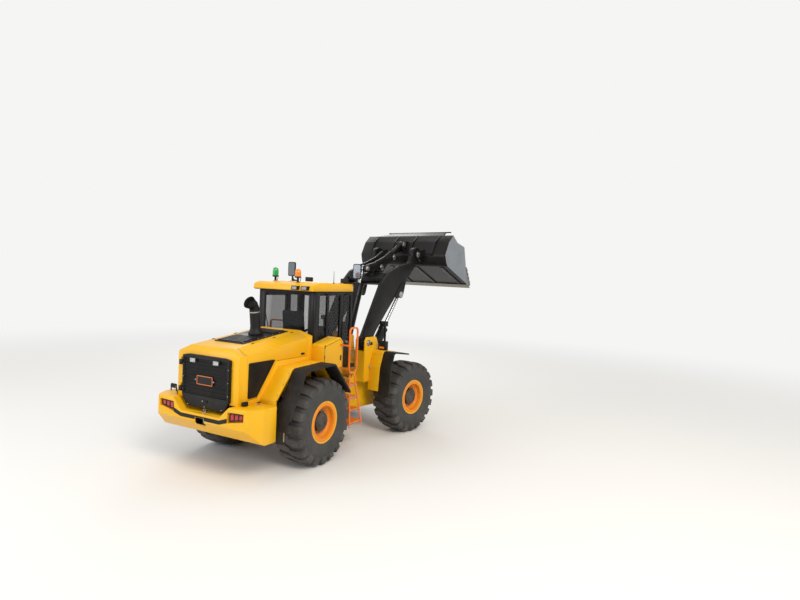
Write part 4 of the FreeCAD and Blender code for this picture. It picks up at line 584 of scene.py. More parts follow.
def grille_dress():
    """Fine wires over the bars, the two square lamps, a blank badge plate, the latch and bolts."""
    wires = grille_piece("grille_wires", BLACK)
    for k in range(41):
        y = -0.5 + 0.025 * k
        wires.block((GRILLE_FACE, y - 0.0015, 1.358), (GRILLE_FACE + 0.003, y + 0.0015, 1.998))
    wires.done()
    edge = ((-0.552, 1.345), (0.552, 1.345), (0.552, 2.03), (0.43, 2.052), (-0.43, 2.052), (-0.552, 2.03))
    surround = grille_piece("grille_surround", BLACK)
    surround.hoop("x", edge, 0.03, GRILLE_FACE - 0.0085, GRILLE_FACE).done(0.003)
    for name, side in SIDES:
        y = side * 0.275
        rim = grille_piece(f"grille_lamp_rim_{name}", ZINC)
        rim.hoop("x", oblong(y - 0.062, y + 0.062, 1.933, 2.002, 0.012), 0.01, -3.341, -3.322).done(0.0015)
        bowl = grille_piece(f"grille_lamp_bowl_{name}", REFLECTOR)
        bowl.plate("x", oblong(y - 0.052, y + 0.052, 1.943, 1.992), -3.3365, -3.334).done()
        glass = grille_piece(f"grille_lamp_glass_{name}", CLEAR)
        glass.plate("x", oblong(y - 0.053, y + 0.053, 1.942, 1.993, 0.008), -3.3405, -3.337).done()
    badge = grille_piece("blank_badge_rim", ORANGE)
    badge.hoop("x", oblong(-0.186, 0.186, 1.564, 1.716, 0.018), 0.011, -3.3165, -3.3115).done(0.001)
    for name, side in SIDES:
        stud = grille_piece(f"badge_stud_{name}", ZINC)
        stud.turn((-3.3125, side * 0.215, 1.64), -AHEAD, ((0, 0.014), (0.006, 0.012), (0.008, 0)), 20).done()
    latch = grille_piece("grille_latch", BLACK)
    latch.plate("x", oblong(-0.07, 0.07, 1.255, 1.315, 0.02), GRILLE_FACE - 0.0095, GRILLE_FACE)
    latch.plate("x", oblong(-0.05, 0.012, 1.275, 1.297, 0.008), -3.318, -3.308).done(0.002)
    lock = grille_piece("grille_lock", ZINC)
    lock.turn((-3.308, 0.04, 1.286), -AHEAD, ((0, 0.012), (0.006, 0.012), (0.007, 0)), 20).done()
    spots = [(-3.3, y, 1.19) for y in (-0.4, 0.0, 0.4)]
    spots += [(-3.3, side * 0.535, z) for _, side in SIDES for z in (1.44, 1.66, 1.88)]
    grille_piece("grille_bolts", ZINC).bolts(spots, -AHEAD, 0.018, 0.009).done()


def hood_dress():
    """Louvre fixings, exhaust lip and foot, side grille bars and door latches."""
    heads = Work("louvre_bolts", ZINC, place=HOOD)
    for _, side in SIDES:
        heads.bolts(along((0.41, side * 0.325, 0.014), (1.55, side * 0.325, 0.014), 7), UP, 0.018, 0.009)
    heads.done()
    stack = Vector((1.07, 0, 0))
    foot = Work("exhaust_foot", PLASTIC, place=HOOD)
    foot.turn(stack + UP * 0.053, UP, ((0, 0.136), (0.012, 0.134), (0.03, 0.118), (0.07, 0.1), (0.12, 0.0935),
                                       (0.12, 0.088), (0, 0.088)), 56, ring=True)
    foot.bolts(circle(stack + UP * 0.06, 0.124, 6, AHEAD, LEFT, 0.5), UP, 0.018, 0.012).done()
    # The stack's bend: its radius, how far it turns back, and the height where it starts.
    bend, turn, start = 0.15, math.radians(55), 0.475
    end = stack + AHEAD * (bend * math.cos(turn) - bend) + UP * (start + bend * math.sin(turn))
    out = UP * math.cos(turn) - AHEAD * math.sin(turn)
    lip = ((-0.05, 0.093), (0, 0.099), (0.05, 0.111), (0.085, 0.121), (0.09, 0.117), (0.05, 0.1),
           (0.004, 0.088), (-0.05, 0.088))
    Work("exhaust_lip", PLASTIC, place=HOOD).turn(end - out * 0.012, out, lip, 56, ring=True).done()
    # A near-black disc closes the stack's mouth: soot, and painted shade for the deep bore behind it.
    bore = Work("exhaust_bore_soot_and_shade", SOOT_AND_SHADE, place=HOOD)
    bore.turn(end - out * 0.004, out, ((0, 0.086), (0.006, 0.086), (0.0065, 0)), 40).done()
    clamp = Work("exhaust_clamp", ZINC, place=HOOD)
    strap = ((0, 0.0925), (0, 0.0955), (0.022, 0.0955), (0.022, 0.0925))
    clamp.turn(stack + UP * 0.43, UP, strap, 56, ring=True)
    clamp.rod(stack + UP * 0.441 - LEFT * 0.1, stack + UP * 0.441 - LEFT * 0.13, 0.006, 8).done()
    for name, side in SIDES:
        body = f"hood_door_{name}"
        bars = Work(f"side_grille_bars_{name}", BLACK, body)
        low, high = span(side, HOOD_SIDE + 0.0055, HOOD_SIDE + 0.0105)
        # Each bar runs from the grille's nearly upright rear edge to its slanted front one.
        rear_slope, front_slope = 0.009, 0.745
        for k in range(27):
            z = 1.42 + 0.02 * k
            rear, front = -3.014 + (z - 1.405) * rear_slope, -2.838 + (z - 1.41) * front_slope
            bars.block((rear, low, z), (front, high, z + 0.006))
        bars.done()
        run = rounded(((-3.036, 1.386), (-2.828, 1.391), (-2.388, 1.981), (-3.031, 1.981)), 0.025)
        trim = Work(f"side_grille_trim_{name}", PLASTIC, body)
        trim.hoop("y", run, 0.012, *span(side, HOOD_SIDE + 0.0115, HOOD_SIDE + 0.0165)).done(0.002)
        latch = Work(f"hood_latch_{name}", BLACK, body)
        low, high = span(side, HOOD_SIDE - 0.0005, HOOD_SIDE + 0.008)
        latch.plate("y", oblong(-1.66, -1.56, 1.99, 2.03, 0.012), low, high).done(0.002)
        hinge = Work(f"hood_hinges_{name}", BLACK, body, HOOD)
        for x in (0.45, 1.0, 1.5):
            hinge.rod((x, side * 0.478, 0.0005), (x + 0.07, side * 0.478, 0.0005), 0.009, 12)
        hinge.done()


def fender_dress():
    """Seam bolts along the mudguards' folds, and rubber flaps behind the wheels."""
    rear_fold = ((-2.74, 1.18), (-2.72, 1.34), (-2.29, 1.85), (-1.42, 1.88), (-0.93, 1.33), (-0.91, 1.29))
    front_fold = ((0.7, 1.01), (0.74, 1.53), (0.855, 1.905), (1.33, 1.845))
    pitch, seam = 0.2, 1.03
    for end, place, fold in (("rear", REAR, rear_fold), ("front", FRONT, front_fold)):
        heads = Work(f"{end}_fender_bolts", ZINC, f"{end}_frame", place)
        for _, side in SIDES:
            for start, stop in zip(fold, fold[1:]):
                run = at(stop) - at(start)
                if run.length < pitch:
                    continue
                out = Vector((-run.z, 0, run.x)).normalized()
                count = max(2, int(run.length / pitch))
                first = at(start, side * seam) - out * 0.002
                heads.bolts([first + run * ((k + 0.5) / count) for k in range(count)], out, 0.016, 0.009)
        heads.done()
    flap = Work("rear_flaps", RUBBER)
    strap = Work("flap_straps", ZINC)
    for _, side in SIDES:
        flap.plate("x", oblong(side * 1.075, side * 1.335, 0.64, 0.86, 0.03), -2.775, -2.765)
        for y in (side * 1.1, side * 1.31):
            strap.block((-2.781, y - 0.012, 0.7), (-2.775, y + 0.012, 0.85))
    flap.done(0.003)
    strap.done(0.001)


def step_dress():
    """Raised grip knobs on the treads, the right box's door with its hinges and lock, and the tank cap."""
    knobs = Work("step_knobs", TREADPLATE)
    plates = Work("tread_plates", TREADPLATE)
    rows, columns = 8, 9
    for _, side in SIDES:
        low, high = span(side, 0.79, 1.2495)
        for z, front in STEPS:
            for i in range(rows):
                x = -0.77 + (front + 0.74) * (i + 0.5) / rows
                for j in range(columns):
                    knobs.turn((x, side * (0.81 + 0.05 * j), z - 0.0005), UP, ((0, 0.009), (0.004, 0.007)), 8)
            plates.hoop("z", oblong(-0.785, front, low, high, 0.015), 0.03, z - 0.03, z + 0.003)
            plates.block((-0.76, low + 0.02, z - 0.002), (front - 0.02, high - 0.02, z + 0.0008))
    knobs.done()
    plates.done(0.001)
    face = ((-1.3, 1.85), (-1.3, 2.135), (-0.812, 2.245), (-0.72, 2.165), (-0.72, 1.6), (-1.075, 1.6))
    Work("right_box_door", YELLOW).plate("y", rounded(face, 0.03), -1.0155, -1.0095).done(0.003)
    seal = rounded(inset(face, -0.008), 0.03)
    Work("right_box_seal", RUBBER).hoop("y", seal, 0.014, -1.0135, -1.0085).done()
    lock = oblong(-0.79, -0.75, 1.82, 1.93, 0.012)
    Work("right_box_lock", PLASTIC).plate("y", lock, -1.0215, -1.0145).done(0.002)
    hinges = Work("right_box_hinges", BLACK)
    for z in (1.9, 2.1):
        hinges.rod((-1.306, -1.014, z), (-1.306, -1.014, z + 0.07), 0.009, 14)
    hinges.done()
    cap = ((0, 0.05), (0.02, 0.05), (0.028, 0.044), (0.03, 0))
    Work("tank_cap", PLASTIC).turn((-0.6, -0.7795, 1.45), -LEFT, cap, 40).done()
    heads = Work("step_bolts", ZINC)
    for _, side in SIDES:
        heads.bolts([(x, side * 1.264, z) for z, _ in STEPS for x in (-0.74, -0.6)], LEFT * side, 0.02, 0.01)
    heads.done()


def work_lamp(end, name, y, glass, glass_depth, rim, rim_depth):
    """A square lamp on the cab: each of glass and rim has a half width, a floor and a top."""
    half, low, high = glass
    lens = oblong(y - half, y + half, low, high, 0.012)
    Work(f"{end}_work_lamp_{name}", CLEAR).plate("x", lens, *glass_depth).done(0.002)
    half, low, high = rim
    edge = oblong(y - half, y + half, low, high, 0.015)
    Work(f"{end}_work_lamp_rim_{name}", PLASTIC).hoop("x", edge, 0.011, *rim_depth).done(0.001)


def beacon(name, look, x, y, high):
    """A beacon on its stalk, with a ribbed dome and a lead down to the roof."""
    stem, base = (x, y, ROOF_TOP), ROOF_TOP + 0.122
    stalk = Work(f"{name}_beacon_stalk", PLASTIC)
    stalk.turn(stem, UP, ((0, 0.045), (0.008, 0.045), (0.014, 0.024), (0.09, 0.022), (0.094, 0.066),
                          (0.118, 0.066), (0.122, 0.06)), 36)
    # The green one stands for the pair, which is one piece in the CAD.
    stalk.done(stands_for=("beacons",) if name == "green" else ())
    dome = Work(f"{name}_beacon_dome", look)
    tall = high - base
    bell = ((0, 0.062), (tall * 0.55, 0.0605), (tall * 0.82, 0.053), (tall * 0.95, 0.034), (tall, 0))
    dome.turn((x, y, base), UP, bell, 40)
    for k in range(5):
        dome.turn((x, y, base + 0.012 + k * 0.016), UP, ((0, 0.0615), (0.003, 0.0645), (0.006, 0.0615)), 40)
    dome.done(angle=50)
    lead = ((0, 0.06, 3.45), (0.05, 0.11, 3.43), (0.09, 0.13, 3.372), (0.12, 0.12, 3.349))
    lead = sagging([(x - back, y - aside, z) for back, aside, z in lead])
    Work(f"{name}_beacon_lead", RUBBER).pipe(lead, 0.006).done()


def cab_dress():
    """Window seals, wiper, door handle, lamp glasses, beacons, mirrors and an aerial."""
    seals = Work("window_seals", RUBBER)
    for y in (-0.7215, 0.7195):
        seals.hoop("y", oblong(-0.318, -0.032, 2.082, 3.118, 0.03), 0.014, y - 0.001, y + 0.003)
    for rear, front in ((-1.155, -0.88), (-0.84, -0.42)):
        seals.hoop("y", oblong(rear, front, 2.23, 3.12, 0.04), 0.014, -0.7235, -0.7185)
    seals.hoop("x", oblong(-0.57, 0.57, 2.23, 3.12, 0.05), 0.016, CAB_REAR - 0.0045, CAB_REAR + 0.0015).done()
    wiper = Work("rear_wiper", PLASTIC)
    wiper.turn((-1.268, 0.4, 2.275), -AHEAD, ((0, 0.03), (0.03, 0.028), (0.036, 0.02), (0.038, 0)), 24)
    wiper.pipe(((-1.3, 0.4, 2.275), (-1.3, 0.455, 2.45), (-1.285, 0.51, 2.62)), 0.006, corner=0.03)
    wiper.block((-1.284, 0.505, 2.608), (-1.272, 0.515, 2.632))
    wiper.pipe(((-1.281, 0.43, 2.38), (-1.283, 0.51, 2.62), (-1.281, 0.565, 2.86)), 0.005).done()
    handle = Work("cab_door_handle", PLASTIC, "cab_door")
    handle.pipe([(x, y, 1.93) for x, y in ((-1.13, 0.72), (-1.13, 0.76), (-0.98, 0.76), (-0.98, 0.72))],
                0.011, 12, 0.02)
    handle.plate("y", oblong(-1.17, -0.94, 1.9, 1.96, 0.02), 0.7195, 0.7255).done()
    door_seal = Work("cab_door_seal", RUBBER, "cab_door")
    door_seal.hoop("y", oblong(-1.155, -0.45, 1.858, 3.058, 0.04), 0.014, 0.7185, 0.7235).done()
    hinges = Work("cab_door_hinges", BLACK, "cab_door")
    for z in (1.85, 2.45, 3.0):
        hinges.rod((-1.2, 0.729, z - 0.04), (-1.2, 0.729, z + 0.04), 0.011, 14)
        hinges.block((-1.2, 0.7195, z - 0.03), (-1.165, 0.727, z + 0.03))
    hinges.done(0.001)
    eaves = ((-1.405, -0.735), (0.05, -0.735), (0.262, -0.52), (0.262, 0.52), (0.05, 0.735), (-1.405, 0.735))
    Work("roof_seal", RUBBER).hoop("z", eaves, 0.02, 3.178, 3.1905).done()
    hatch = oblong(-1.12, 0.0, -0.52, 0.52, 0.08)
    Work("roof_panel", YELLOW).plate("z", hatch, ROOF_TOP, ROOF_TOP + 0.014).done(0.006)
    for name, y in (("outer", -0.6), ("inner", -0.36)):
        work_lamp("rear", name, y, (0.058, 3.215, 3.277), (-1.4965, -1.489), (0.069, 3.206, 3.284),
                  (-1.498, -1.4885))
    for name, side in SIDES:
        work_lamp("front", name, side * 0.48, (0.066, 3.36, 3.441), (0.0795, 0.0855), (0.079, 3.347, 3.454),
                  (0.0785, 0.088))
        y = side * 0.88
        mirror = oblong(y - 0.085, y + 0.085, 3.478, 3.762, 0.035)
        Work(f"mirror_glass_{name}", MIRROR).plate("x", mirror, -0.0935, -0.0895).done()
        arm = ((-0.045, side * 0.7, 3.36), (-0.045, side * 0.865, 3.385), (-0.052, y, 3.6))
        Work(f"mirror_arm_{name}", BLACK).pipe(arm, 0.012, 12, 0.05).done()
    beacon("green", GREEN, -0.94, 0.6, 3.64)
    beacon("amber", AMBER, -1.19, -0.2, 3.62)
    whip = ((0, 0.022), (0.012, 0.02), (0.03, 0.007), (0.26, 0.0035), (0.262, 0))
    Work("aerial", PLASTIC).turn((-0.45, -0.55, ROOF_TOP - 0.002), UP, whip, 16).done()
    spots = [(-1.16, y, 3.352) for y in (-0.35, 0.0, 0.35)] + [(-0.6, y, 3.3575) for y in (-0.48, 0.48)]
    Work("roof_bolts", ZINC).bolts(spots, UP, 0.018, 0.009).done()


def cab_inside():
    """Seat cushions, belt, armrest stick, wheel knob, gauges, levers, lining and pedals."""
    cushion = Work("seat_cushion", CLOTH)
    pad = rounded(oblong(-1.03, -0.53, -0.235, 0.235), 0.09, 6)
    cushion.plate("z", pad, CAB_FLOOR + 0.45, CAB_FLOOR + 0.505)
    cushion.done(0.018)
    lean, height = 0.08, 0.65
    tilt = Matrix.Translation((-0.93, 0, CAB_FLOOR + 0.47))
    tilt = tilt @ Matrix.Rotation(-math.atan2(lean, height), 4, "Y")
    back = Work("seat_back", CLOTH, place=REAR @ tilt)
    sheet = ((-0.215, 0.03), (0.215, 0.03), (0.195, 0.64), (-0.195, 0.64))
    back.plate("x", rounded(sheet, 0.08, 6), -0.004, 0.045)
    back.done(0.016)
    belt = ((-0.98, 0.26, 0.47), (-0.9, 0.2, 0.53), (-0.82, 0.02, 0.515), (-0.86, -0.2, 0.53),
            (-0.98, -0.26, 0.47))
    Work("seat_belt", RUBBER).pipe(sagging([(x, y, CAB_FLOOR + z) for x, y, z in belt]), 0.011).done()
    knob = ((0, 0.008), (0.01, 0.014), (0.03, 0.016), (0.042, 0.01), (0.045, 0))
    levers = Work("arm_levers", PLASTIC)
    for k in range(3):
        foot = Vector((-0.68 + 0.045 * k, -0.295, CAB_FLOOR + 0.615))
        levers.rod(foot, foot + UP * 0.065, 0.006, 10).turn(foot + UP * 0.06, UP, knob, 16)
    levers.block((-0.72, -0.325, CAB_FLOOR + 0.6), (-0.56, -0.265, CAB_FLOOR + 0.635)).done(0.003)
    column_degrees = -25
    column = Matrix.Translation((-0.15, 0, CAB_FLOOR)) @ Matrix.Rotation(math.radians(column_degrees), 4, "Y")
    hub = Work("hand_wheel_hub", PLASTIC, place=REAR @ column)
    hub.turn((0, 0, 0.69), UP, ((0, 0.045), (0.025, 0.045), (0.035, 0.035), (0.038, 0)), 32)
    hub.turn((0, 0.175, 0.715), UP, ((0, 0.01), (0.02, 0.008), (0.024, 0.02), (0.045, 0.022), (0.055, 0.012),
                                     (0.057, 0)), 20).done()
    gauges = Work("gauge_panel", PLASTIC)
    panel = ((0.0, 0.6), (0.055, 0.74), (0.075, 0.74), (0.06, 0.6))
    gauges.plate("y", [(x, CAB_FLOOR + z) for x, z in panel], -0.17, 0.17)
    gauges.block((-0.62, -0.6, CAB_FLOOR + 0.02), (-0.3, -0.44, CAB_FLOOR + 0.5)).done(0.006)
    pedals = Work("pedals", STEEL)
    tread = [(x, CAB_FLOOR + z) for x, z in ((-0.1, 0.08), (-0.02, 0.2), (-0.01, 0.19), (-0.09, 0.07))]
    for y in (-0.2, -0.09, 0.2):
        pedals.plate("y", tread, y - 0.035, y + 0.035)
    pedals.done(0.002)
    lining = Work("cab_lining", PLASTIC)
    ceiling = ((-1.2, -0.66), (0.0, -0.66), (0.17, -0.48), (0.17, 0.48), (0.0, 0.66), (-1.2, 0.66))
    lining.plate("z", ceiling, 3.14, 3.186).block((-1.21, -0.62, 1.645), (-1.07, 0.62, 2.16)).done(0.01)


def front_dress():
    """Lamps over the front mudguards, pins and keepers of the towers, and a weld along their feet."""
    for name, side in SIDES:
        y, out = side * 0.95, LEFT * side
        round_lamp(f"road_lamp_{name}", (1.0095, y, 2.035), 0.042)
        signal = Work(f"turn_signal_{name}", AMBER, "front_frame", FRONT)
        for x in (1.0095, 0.8945):
            signal.plate("x", oblong(y - 0.07, y + 0.07, 1.93, 1.975, 0.01), x, x + 0.006)
        signal.done(0.002)
        y += 0.015
        round_lamp(f"high_lamp_{name}", (1.0195, y, 2.485), 0.045)
        shell = Work(f"high_lamp_shell_{name}", PLASTIC, "front_frame", FRONT)
        cup = ((0, 0.05), (0.012, 0.045), (0.02, 0.03), (0.022, 0))
        shell.turn((0.902, y, 2.485), -AHEAD, cup, 28).done()
        caps = Work(f"tower_pins_{name}", PIN, "front_frame", FRONT)
        keeper = Work(f"pin_keepers_{name}", BLACK, "front_frame", FRONT)
        for (x, z), r in ((BOOM_FOOT, 0.05), (LIFT_FOOT, 0.048)):
            caps.turn((x, side * 0.749, z), out, ((0, r + 0.018), (0.008, r + 0.018), (0.008, r), (0.02, r),
                                                  (0.024, r - 0.006), (0.024, 0)), 40)
            caps.bolt((x + 0.1, side * 0.7495, z - 0.02), out, 0.024, 0.014)
            shape = oblong(x + 0.04, x + 0.13, z - 0.05, z + 0.01, 0.015)
            keeper.plate("y", shape, *span(side, 0.7495, 0.7575))
        caps.done()
        keeper.done(0.001)
        weld = ((0.56, side * 0.7505, 1.245), (0.86, side * 0.7505, 1.245))
        Work(f"tower_welds_{name}", YELLOW, "front_frame", FRONT).pipe(weld, 0.006).done()


def articulation():
    """Hoses and the middle drive shaft between the two frames, the hinge pins' caps and cylinder glands."""
    # Each hose and the shaft run between a point on the rear frame and one on the front frame, the hoses
    # sagging, the shaft straight.
    for k, y in enumerate((-0.2, -0.13, 0.13, 0.2)):
        near, far = Vector((-0.44, y, 1.4)), Vector((0.6, y * 0.8, 1.66))
        run = (near, (-0.2, y * 1.3, 1.42), (0.1, y * 1.35 + 0.01, 1.425),
               STEERED @ Vector((0.36, y * 1.15, 1.5)), STEERED @ far)
        hose = Work(f"articulation_hose_{k + 1}", RUBBER, None).pipe(sagging(run), 0.015, 10)
        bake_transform(hose.done())
        for end, place, spot, out in (("rear", REAR, near, AHEAD), ("front", FRONT, far, -AHEAD)):
            nut = Work(f"hose_nut_{end}_{k + 1}", ZINC, f"{end}_frame", place)
            nut.turn(spot, out, ((-0.001, 0.024), (0.02, 0.024)), 6)
            nut.turn(spot, out, ((0.018, 0.0195), (0.06, 0.0195)), 16).done()
    middle = UP * 0.8
    route = along(middle - AHEAD * 0.46, STEERED @ (middle + AHEAD * 0.41), 13)
    shaft = Work("middle_drive_shaft", CAST, None).pipe(route, 0.042, 24)
    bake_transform(shaft.done())
    for end, place, x, out in (("rear", REAR, -0.472, AHEAD), ("front", FRONT, 0.4205, -AHEAD)):
        flange = Work(f"shaft_flange_{end}", CAST, f"{end}_frame", place)
        face = middle + AHEAD * x
        flange.turn(face, out, ((0, 0.085), (0.022, 0.085), (0.026, 0.06), (0.06, 0.052)), 32)
        flange.bolts(circle(face + out * 0.022, 0.07, 8, LEFT, UP), out, 0.014, 0.01).done(0.001)
    caps = Work("hinge_pin_caps", ZINC)
    for z, out in ((1.24, UP), (0.5, -UP)):
        caps.turn(UP * z, out, ((-0.02, 0.085), (0.012, 0.085), (0.016, 0.08), (0.016, 0)), 40)
        caps.bolts(circle(UP * z + out * 0.015, 0.062, 6, AHEAD, LEFT), out, 0.018, 0.011)
    caps.done()
    for name, side in SIDES:
        foot = Vector((-0.86, side * 0.4, 0.85))
        axis = (STEERED @ Vector((0.29, side * 0.395, 0.85)) - foot).normalized()
        gland = Work(f"steering_gland_{name}", BLACK, f"steering_barrel_{name}")
        neck = ((0, 0.056), (0.004, 0.061), (0.06, 0.061), (0.064, 0.056), (0.064, 0.0295), (0.018, 0.0295),
                (0.018, 0.053), (0, 0.053))
        gland.turn(foot + axis * 0.7, axis, neck, ring=True)
        near, far = foot + axis * 0.14, foot + axis * 0.66
        for port in (near, far):
            gland.turn(port, UP, ((0.05, 0.016), (0.072, 0.016)), 16)
        feed = (near + UP * 0.07, near + UP * 0.085, far + UP * 0.085, far + UP * 0.07)
        gland.pipe(feed, 0.008, corner=0.02).done()


def pin_caps(name, body, pins, side):
    """The ends of some pins on one side: for each a flange ring, the ground face and four bolts."""
    out, caps = LEFT * side, Work(name, PIN, body, FRONT)
    for pin, y, r in pins:
        spot = at(pin, side * y)
        flange = ((-0.002, r + 0.022), (0.008, r + 0.022), (0.01, r + 0.018))
        caps.turn(spot, out, (*flange, (0.01, r), (0.016, r), (0.019, r - 0.004), (0.019, 0)), 40)
        caps.bolts(circle(spot + out * 0.018, r * 0.6, 4, AHEAD, UP, 0.5), out, 0.018, 0.009)
    caps.done()


def rod_skin(cylinder, end, bodies, foot, axis, seal, bright):
    """A cylinder's rubber rod seal and the bright skin of its rod, each placed from the cylinder's foot."""
    start, wide, bore = seal
    ring = ((0, wide), (0.008, wide - 0.002), (0.012, bore), (0, bore))
    rubber = Work(f"{cylinder}_rod_seal{end}", RUBBER, bodies[0], FRONT)
    rubber.turn(foot + axis * start, axis, ring, 36, ring=True).done()
    start, length, radius = bright
    chrome = Work(f"{cylinder}_rod_chrome{end}", CHROME, bodies[1], FRONT)
    chrome.turn(foot + axis * start, axis, ((0, radius), (length, radius)), 64).done()


def linkage():
    """Pins, glands, pipes, clamps and seams of the boom, its cylinders and the crank."""
    # Every gland is hollow and stepped inside, so that it stays clear of the piston with the rod full out.
    for name, side in SIDES:
        out = LEFT * side
        pin_caps(f"boom_pin_caps_{name}", "boom", ((LIFT_EYE, 0.679, 0.05), (BOOM_CRANK, 0.1695, 0.05)), side)
        pin_caps(f"crank_pin_caps_{name}", "bellcrank",
                 ((TILT_EYE, 0.1545, 0.046), (CRANK_LINK, 0.1695, 0.046)), side)
        pin_caps(f"bucket_pin_caps_{name}", "bucket",
                 ((BUCKET_PIN, 0.7145, 0.05), (LINK_BUCKET, 0.1115, 0.046)), side)
        seam = Work(f"boom_tube_seam_{name}", BLACK, "boom", FRONT)
        fillet = ((0, 0.168), (0.006, 0.162), (0.016, 0.152), (0.016, 0.147), (0, 0.147))
        seam.turn((1.48, side * 0.55, 3.48), -out, fillet, 48, ring=True)
        for pin, base, lip in ((BUCKET_PIN, 0.115, 0.112), (BOOM_FOOT, 0.105, 0.1)):
            boss = ((0, base), (0.006, lip), (0.006, 0.06), (0, 0.06))
            seam.turn(at(pin, side * 0.664), out, boss, 48, ring=True)
        seam.done()
        y = side * 0.5385
        pipes = Work(f"boom_pipes_{name}", BLACK, "boom", FRONT)
        for shift in (0.0, 0.035):
            run = ((0.83 + shift, y, 2.32), (1.12 + shift, y, 2.84), (1.4 + shift, y, 3.26))
            pipes.pipe(run, 0.0105, 10, 0.2)
        half = Vector((0.045, 0.0135, 0.02))
        for share in (0.1, 0.5, 0.9):
            spot = Vector((0.857, y, 2.32)).lerp(Vector((1.427, y, 3.26)), share)
            pipes.block(spot - half, spot + half)
        pipes.done(0.001)
        foot = at(LIFT_FOOT, side * 0.6075)
        axis = (at(LIFT_EYE, side * 0.6075) - foot).normalized()
        below = Vector((axis.z, 0, -axis.x))
        gland = Work(f"lift_gland_{name}", BLACK, "lift_barrels", FRONT)
        neck = ((0, 0.1055), (0.004, 0.1115), (0.05, 0.1115), (0.054, 0.098), (0.054, 0.0415), (0.01, 0.0415),
                (0.01, 0.1), (0, 0.1))
        gland.turn(foot + axis * 0.955, axis, neck, 40, ring=True)
        gland.bolts(circle(foot + axis * 1.008, 0.085, 8, below, LEFT), axis, 0.016, 0.01)
        low, high = foot + axis * 0.5, foot + axis * 0.93
        feed = (low + below * 0.1, low + below * 0.122, high + below * 0.122, high + below * 0.1)
        gland.pipe(feed, 0.01, 10, 0.02).done()
        rod_skin("lift", f"_{name}", ("lift_barrels", "lift_rods"), foot, axis, (1.009, 0.052, 0.0405),
                 (1.0, 0.87, 0.03925))
    foot = at(TILT_FOOT)
    axis = (at(TILT_EYE) - foot).normalized()
    behind = Vector((-axis.z, 0, axis.x))
    gland = Work("tilt_gland", BLACK, "tilt_barrel", FRONT)
    neck = ((0, 0.1125), (0.004, 0.121), (0.055, 0.121), (0.06, 0.1), (0.06, 0.0505), (0.02, 0.0505),
            (0.02, 0.108), (0, 0.108))
    gland.turn(foot + axis * 1.235, axis, neck, 44, ring=True)
    gland.bolts(circle(foot + axis * 1.2945, 0.088, 8, behind, LEFT, 0.5), axis, 0.018, 0.01)
    for y, reach in ((-0.04, 0.22), (0.04, 1.2)):
        high, low = foot + axis * reach + LEFT * y, foot + axis * 0.14 + LEFT * y
        feed = (high + behind * 0.1, high + behind * 0.136, low + behind * 0.136, low + behind * 0.1)
        gland.pipe(feed, 0.011, 10, 0.025)
    for reach in (0.45, 0.95):
        clamp = ((0, 0.111), (0, 0.1145), (0.03, 0.1145), (0.03, 0.111))
        gland.turn(foot + axis * reach, axis, clamp, 40, ring=True)
    gland.done()
    rod_skin("tilt", "", ("tilt_barrel", "tilt_rod"), foot, axis, (1.299, 0.062, 0.0495),
             (1.29, 0.3, 0.04825))
    nipple = ((0, 0.008), (0.008, 0.008), (0.012, 0.004), (0.02, 0.004))
    Work("link_grease_nipples", ZINC, "bucket_link", FRONT).turn((2.6, 0, 4.448), UP, nipple, 12).done()


def bucket_piece(name, look):
    """A piece in the bucket's own frame."""
    return Work(name, look, "bucket", BUCKET)


def bucket_dress():
    """Worn side plates and floor, cutters, edge bolts and the guard's stiffening bar."""
    cheek = ((1.23, 0.0), (0.1, 0.0), (0.0, 0.055), (-0.13, 0.2), (-0.13, 0.56), (-0.04, 0.79), (0.22, 0.72),
             (0.55, 0.775), (0.87, 0.345), (1.25, 0.03))
    bar = ((0.845, 0.352), (0.885, 0.378), (1.262, 0.052), (1.235, 0.012))
    half_width, worn, thick = 1.373, 0.0035, 0.012
    for name, side in SIDES:
        skin = inset(cheek, 0.004)
        bucket_piece(f"bucket_side_{name}", SCRAPED).plate(
            "y", skin, *span(side, half_width, half_width + worn)).done(0.001)
        bucket_piece(f"bucket_side_cutter_{name}", STEEL).plate(
            "y", bar, *span(side, half_width, half_width + thick)).done(0.004)
        y = side * (half_width + thick)
        studs = bucket_piece(f"side_cutter_bolts_{name}", STEEL)
        studs.bolts(along((0.93, y, 0.315), (1.18, y, 0.095), 4), LEFT * side, 0.034, 0.014).done()
    bucket_piece("bucket_floor_wear", SCRAPED).block((0.2, -1.33, 0.0295), (1.2, 1.33, 0.0325)).done(0.001)
    spots = along((1.17, -1.28, 0.032), (1.17, 1.28, 0.032), 14)
    bucket_piece("edge_bolts", STEEL).bolts(spots, UP, 0.036, 0.014).done()
    guard = bucket_piece("guard_bars", SCUFFED)
    guard.rod((0.298, -1.02, 1.066), (0.298, 1.02, 1.066), 0.016, 16).done(0.001)


def seen_ray(tree):
    """1 for rays that show the background: from the camera, through glass or off a gloss."""
    path = add(tree, "ShaderNodeLightPath").outputs
    either = add(tree, "ShaderNodeMath", {0: path["Is Camera Ray"], 1: path["Is Transmission Ray"]},
                 operation="MAXIMUM")
    return add(tree, "ShaderNodeMath", {0: either.outputs[0], 1: path["Is Glossy Ray"]},
               operation="MAXIMUM").outputs[0]


# The background's own tone, a plain near-white, and how bright it shows.
PALE, PALE_STRENGTH = "#FDFDFC", 0.93


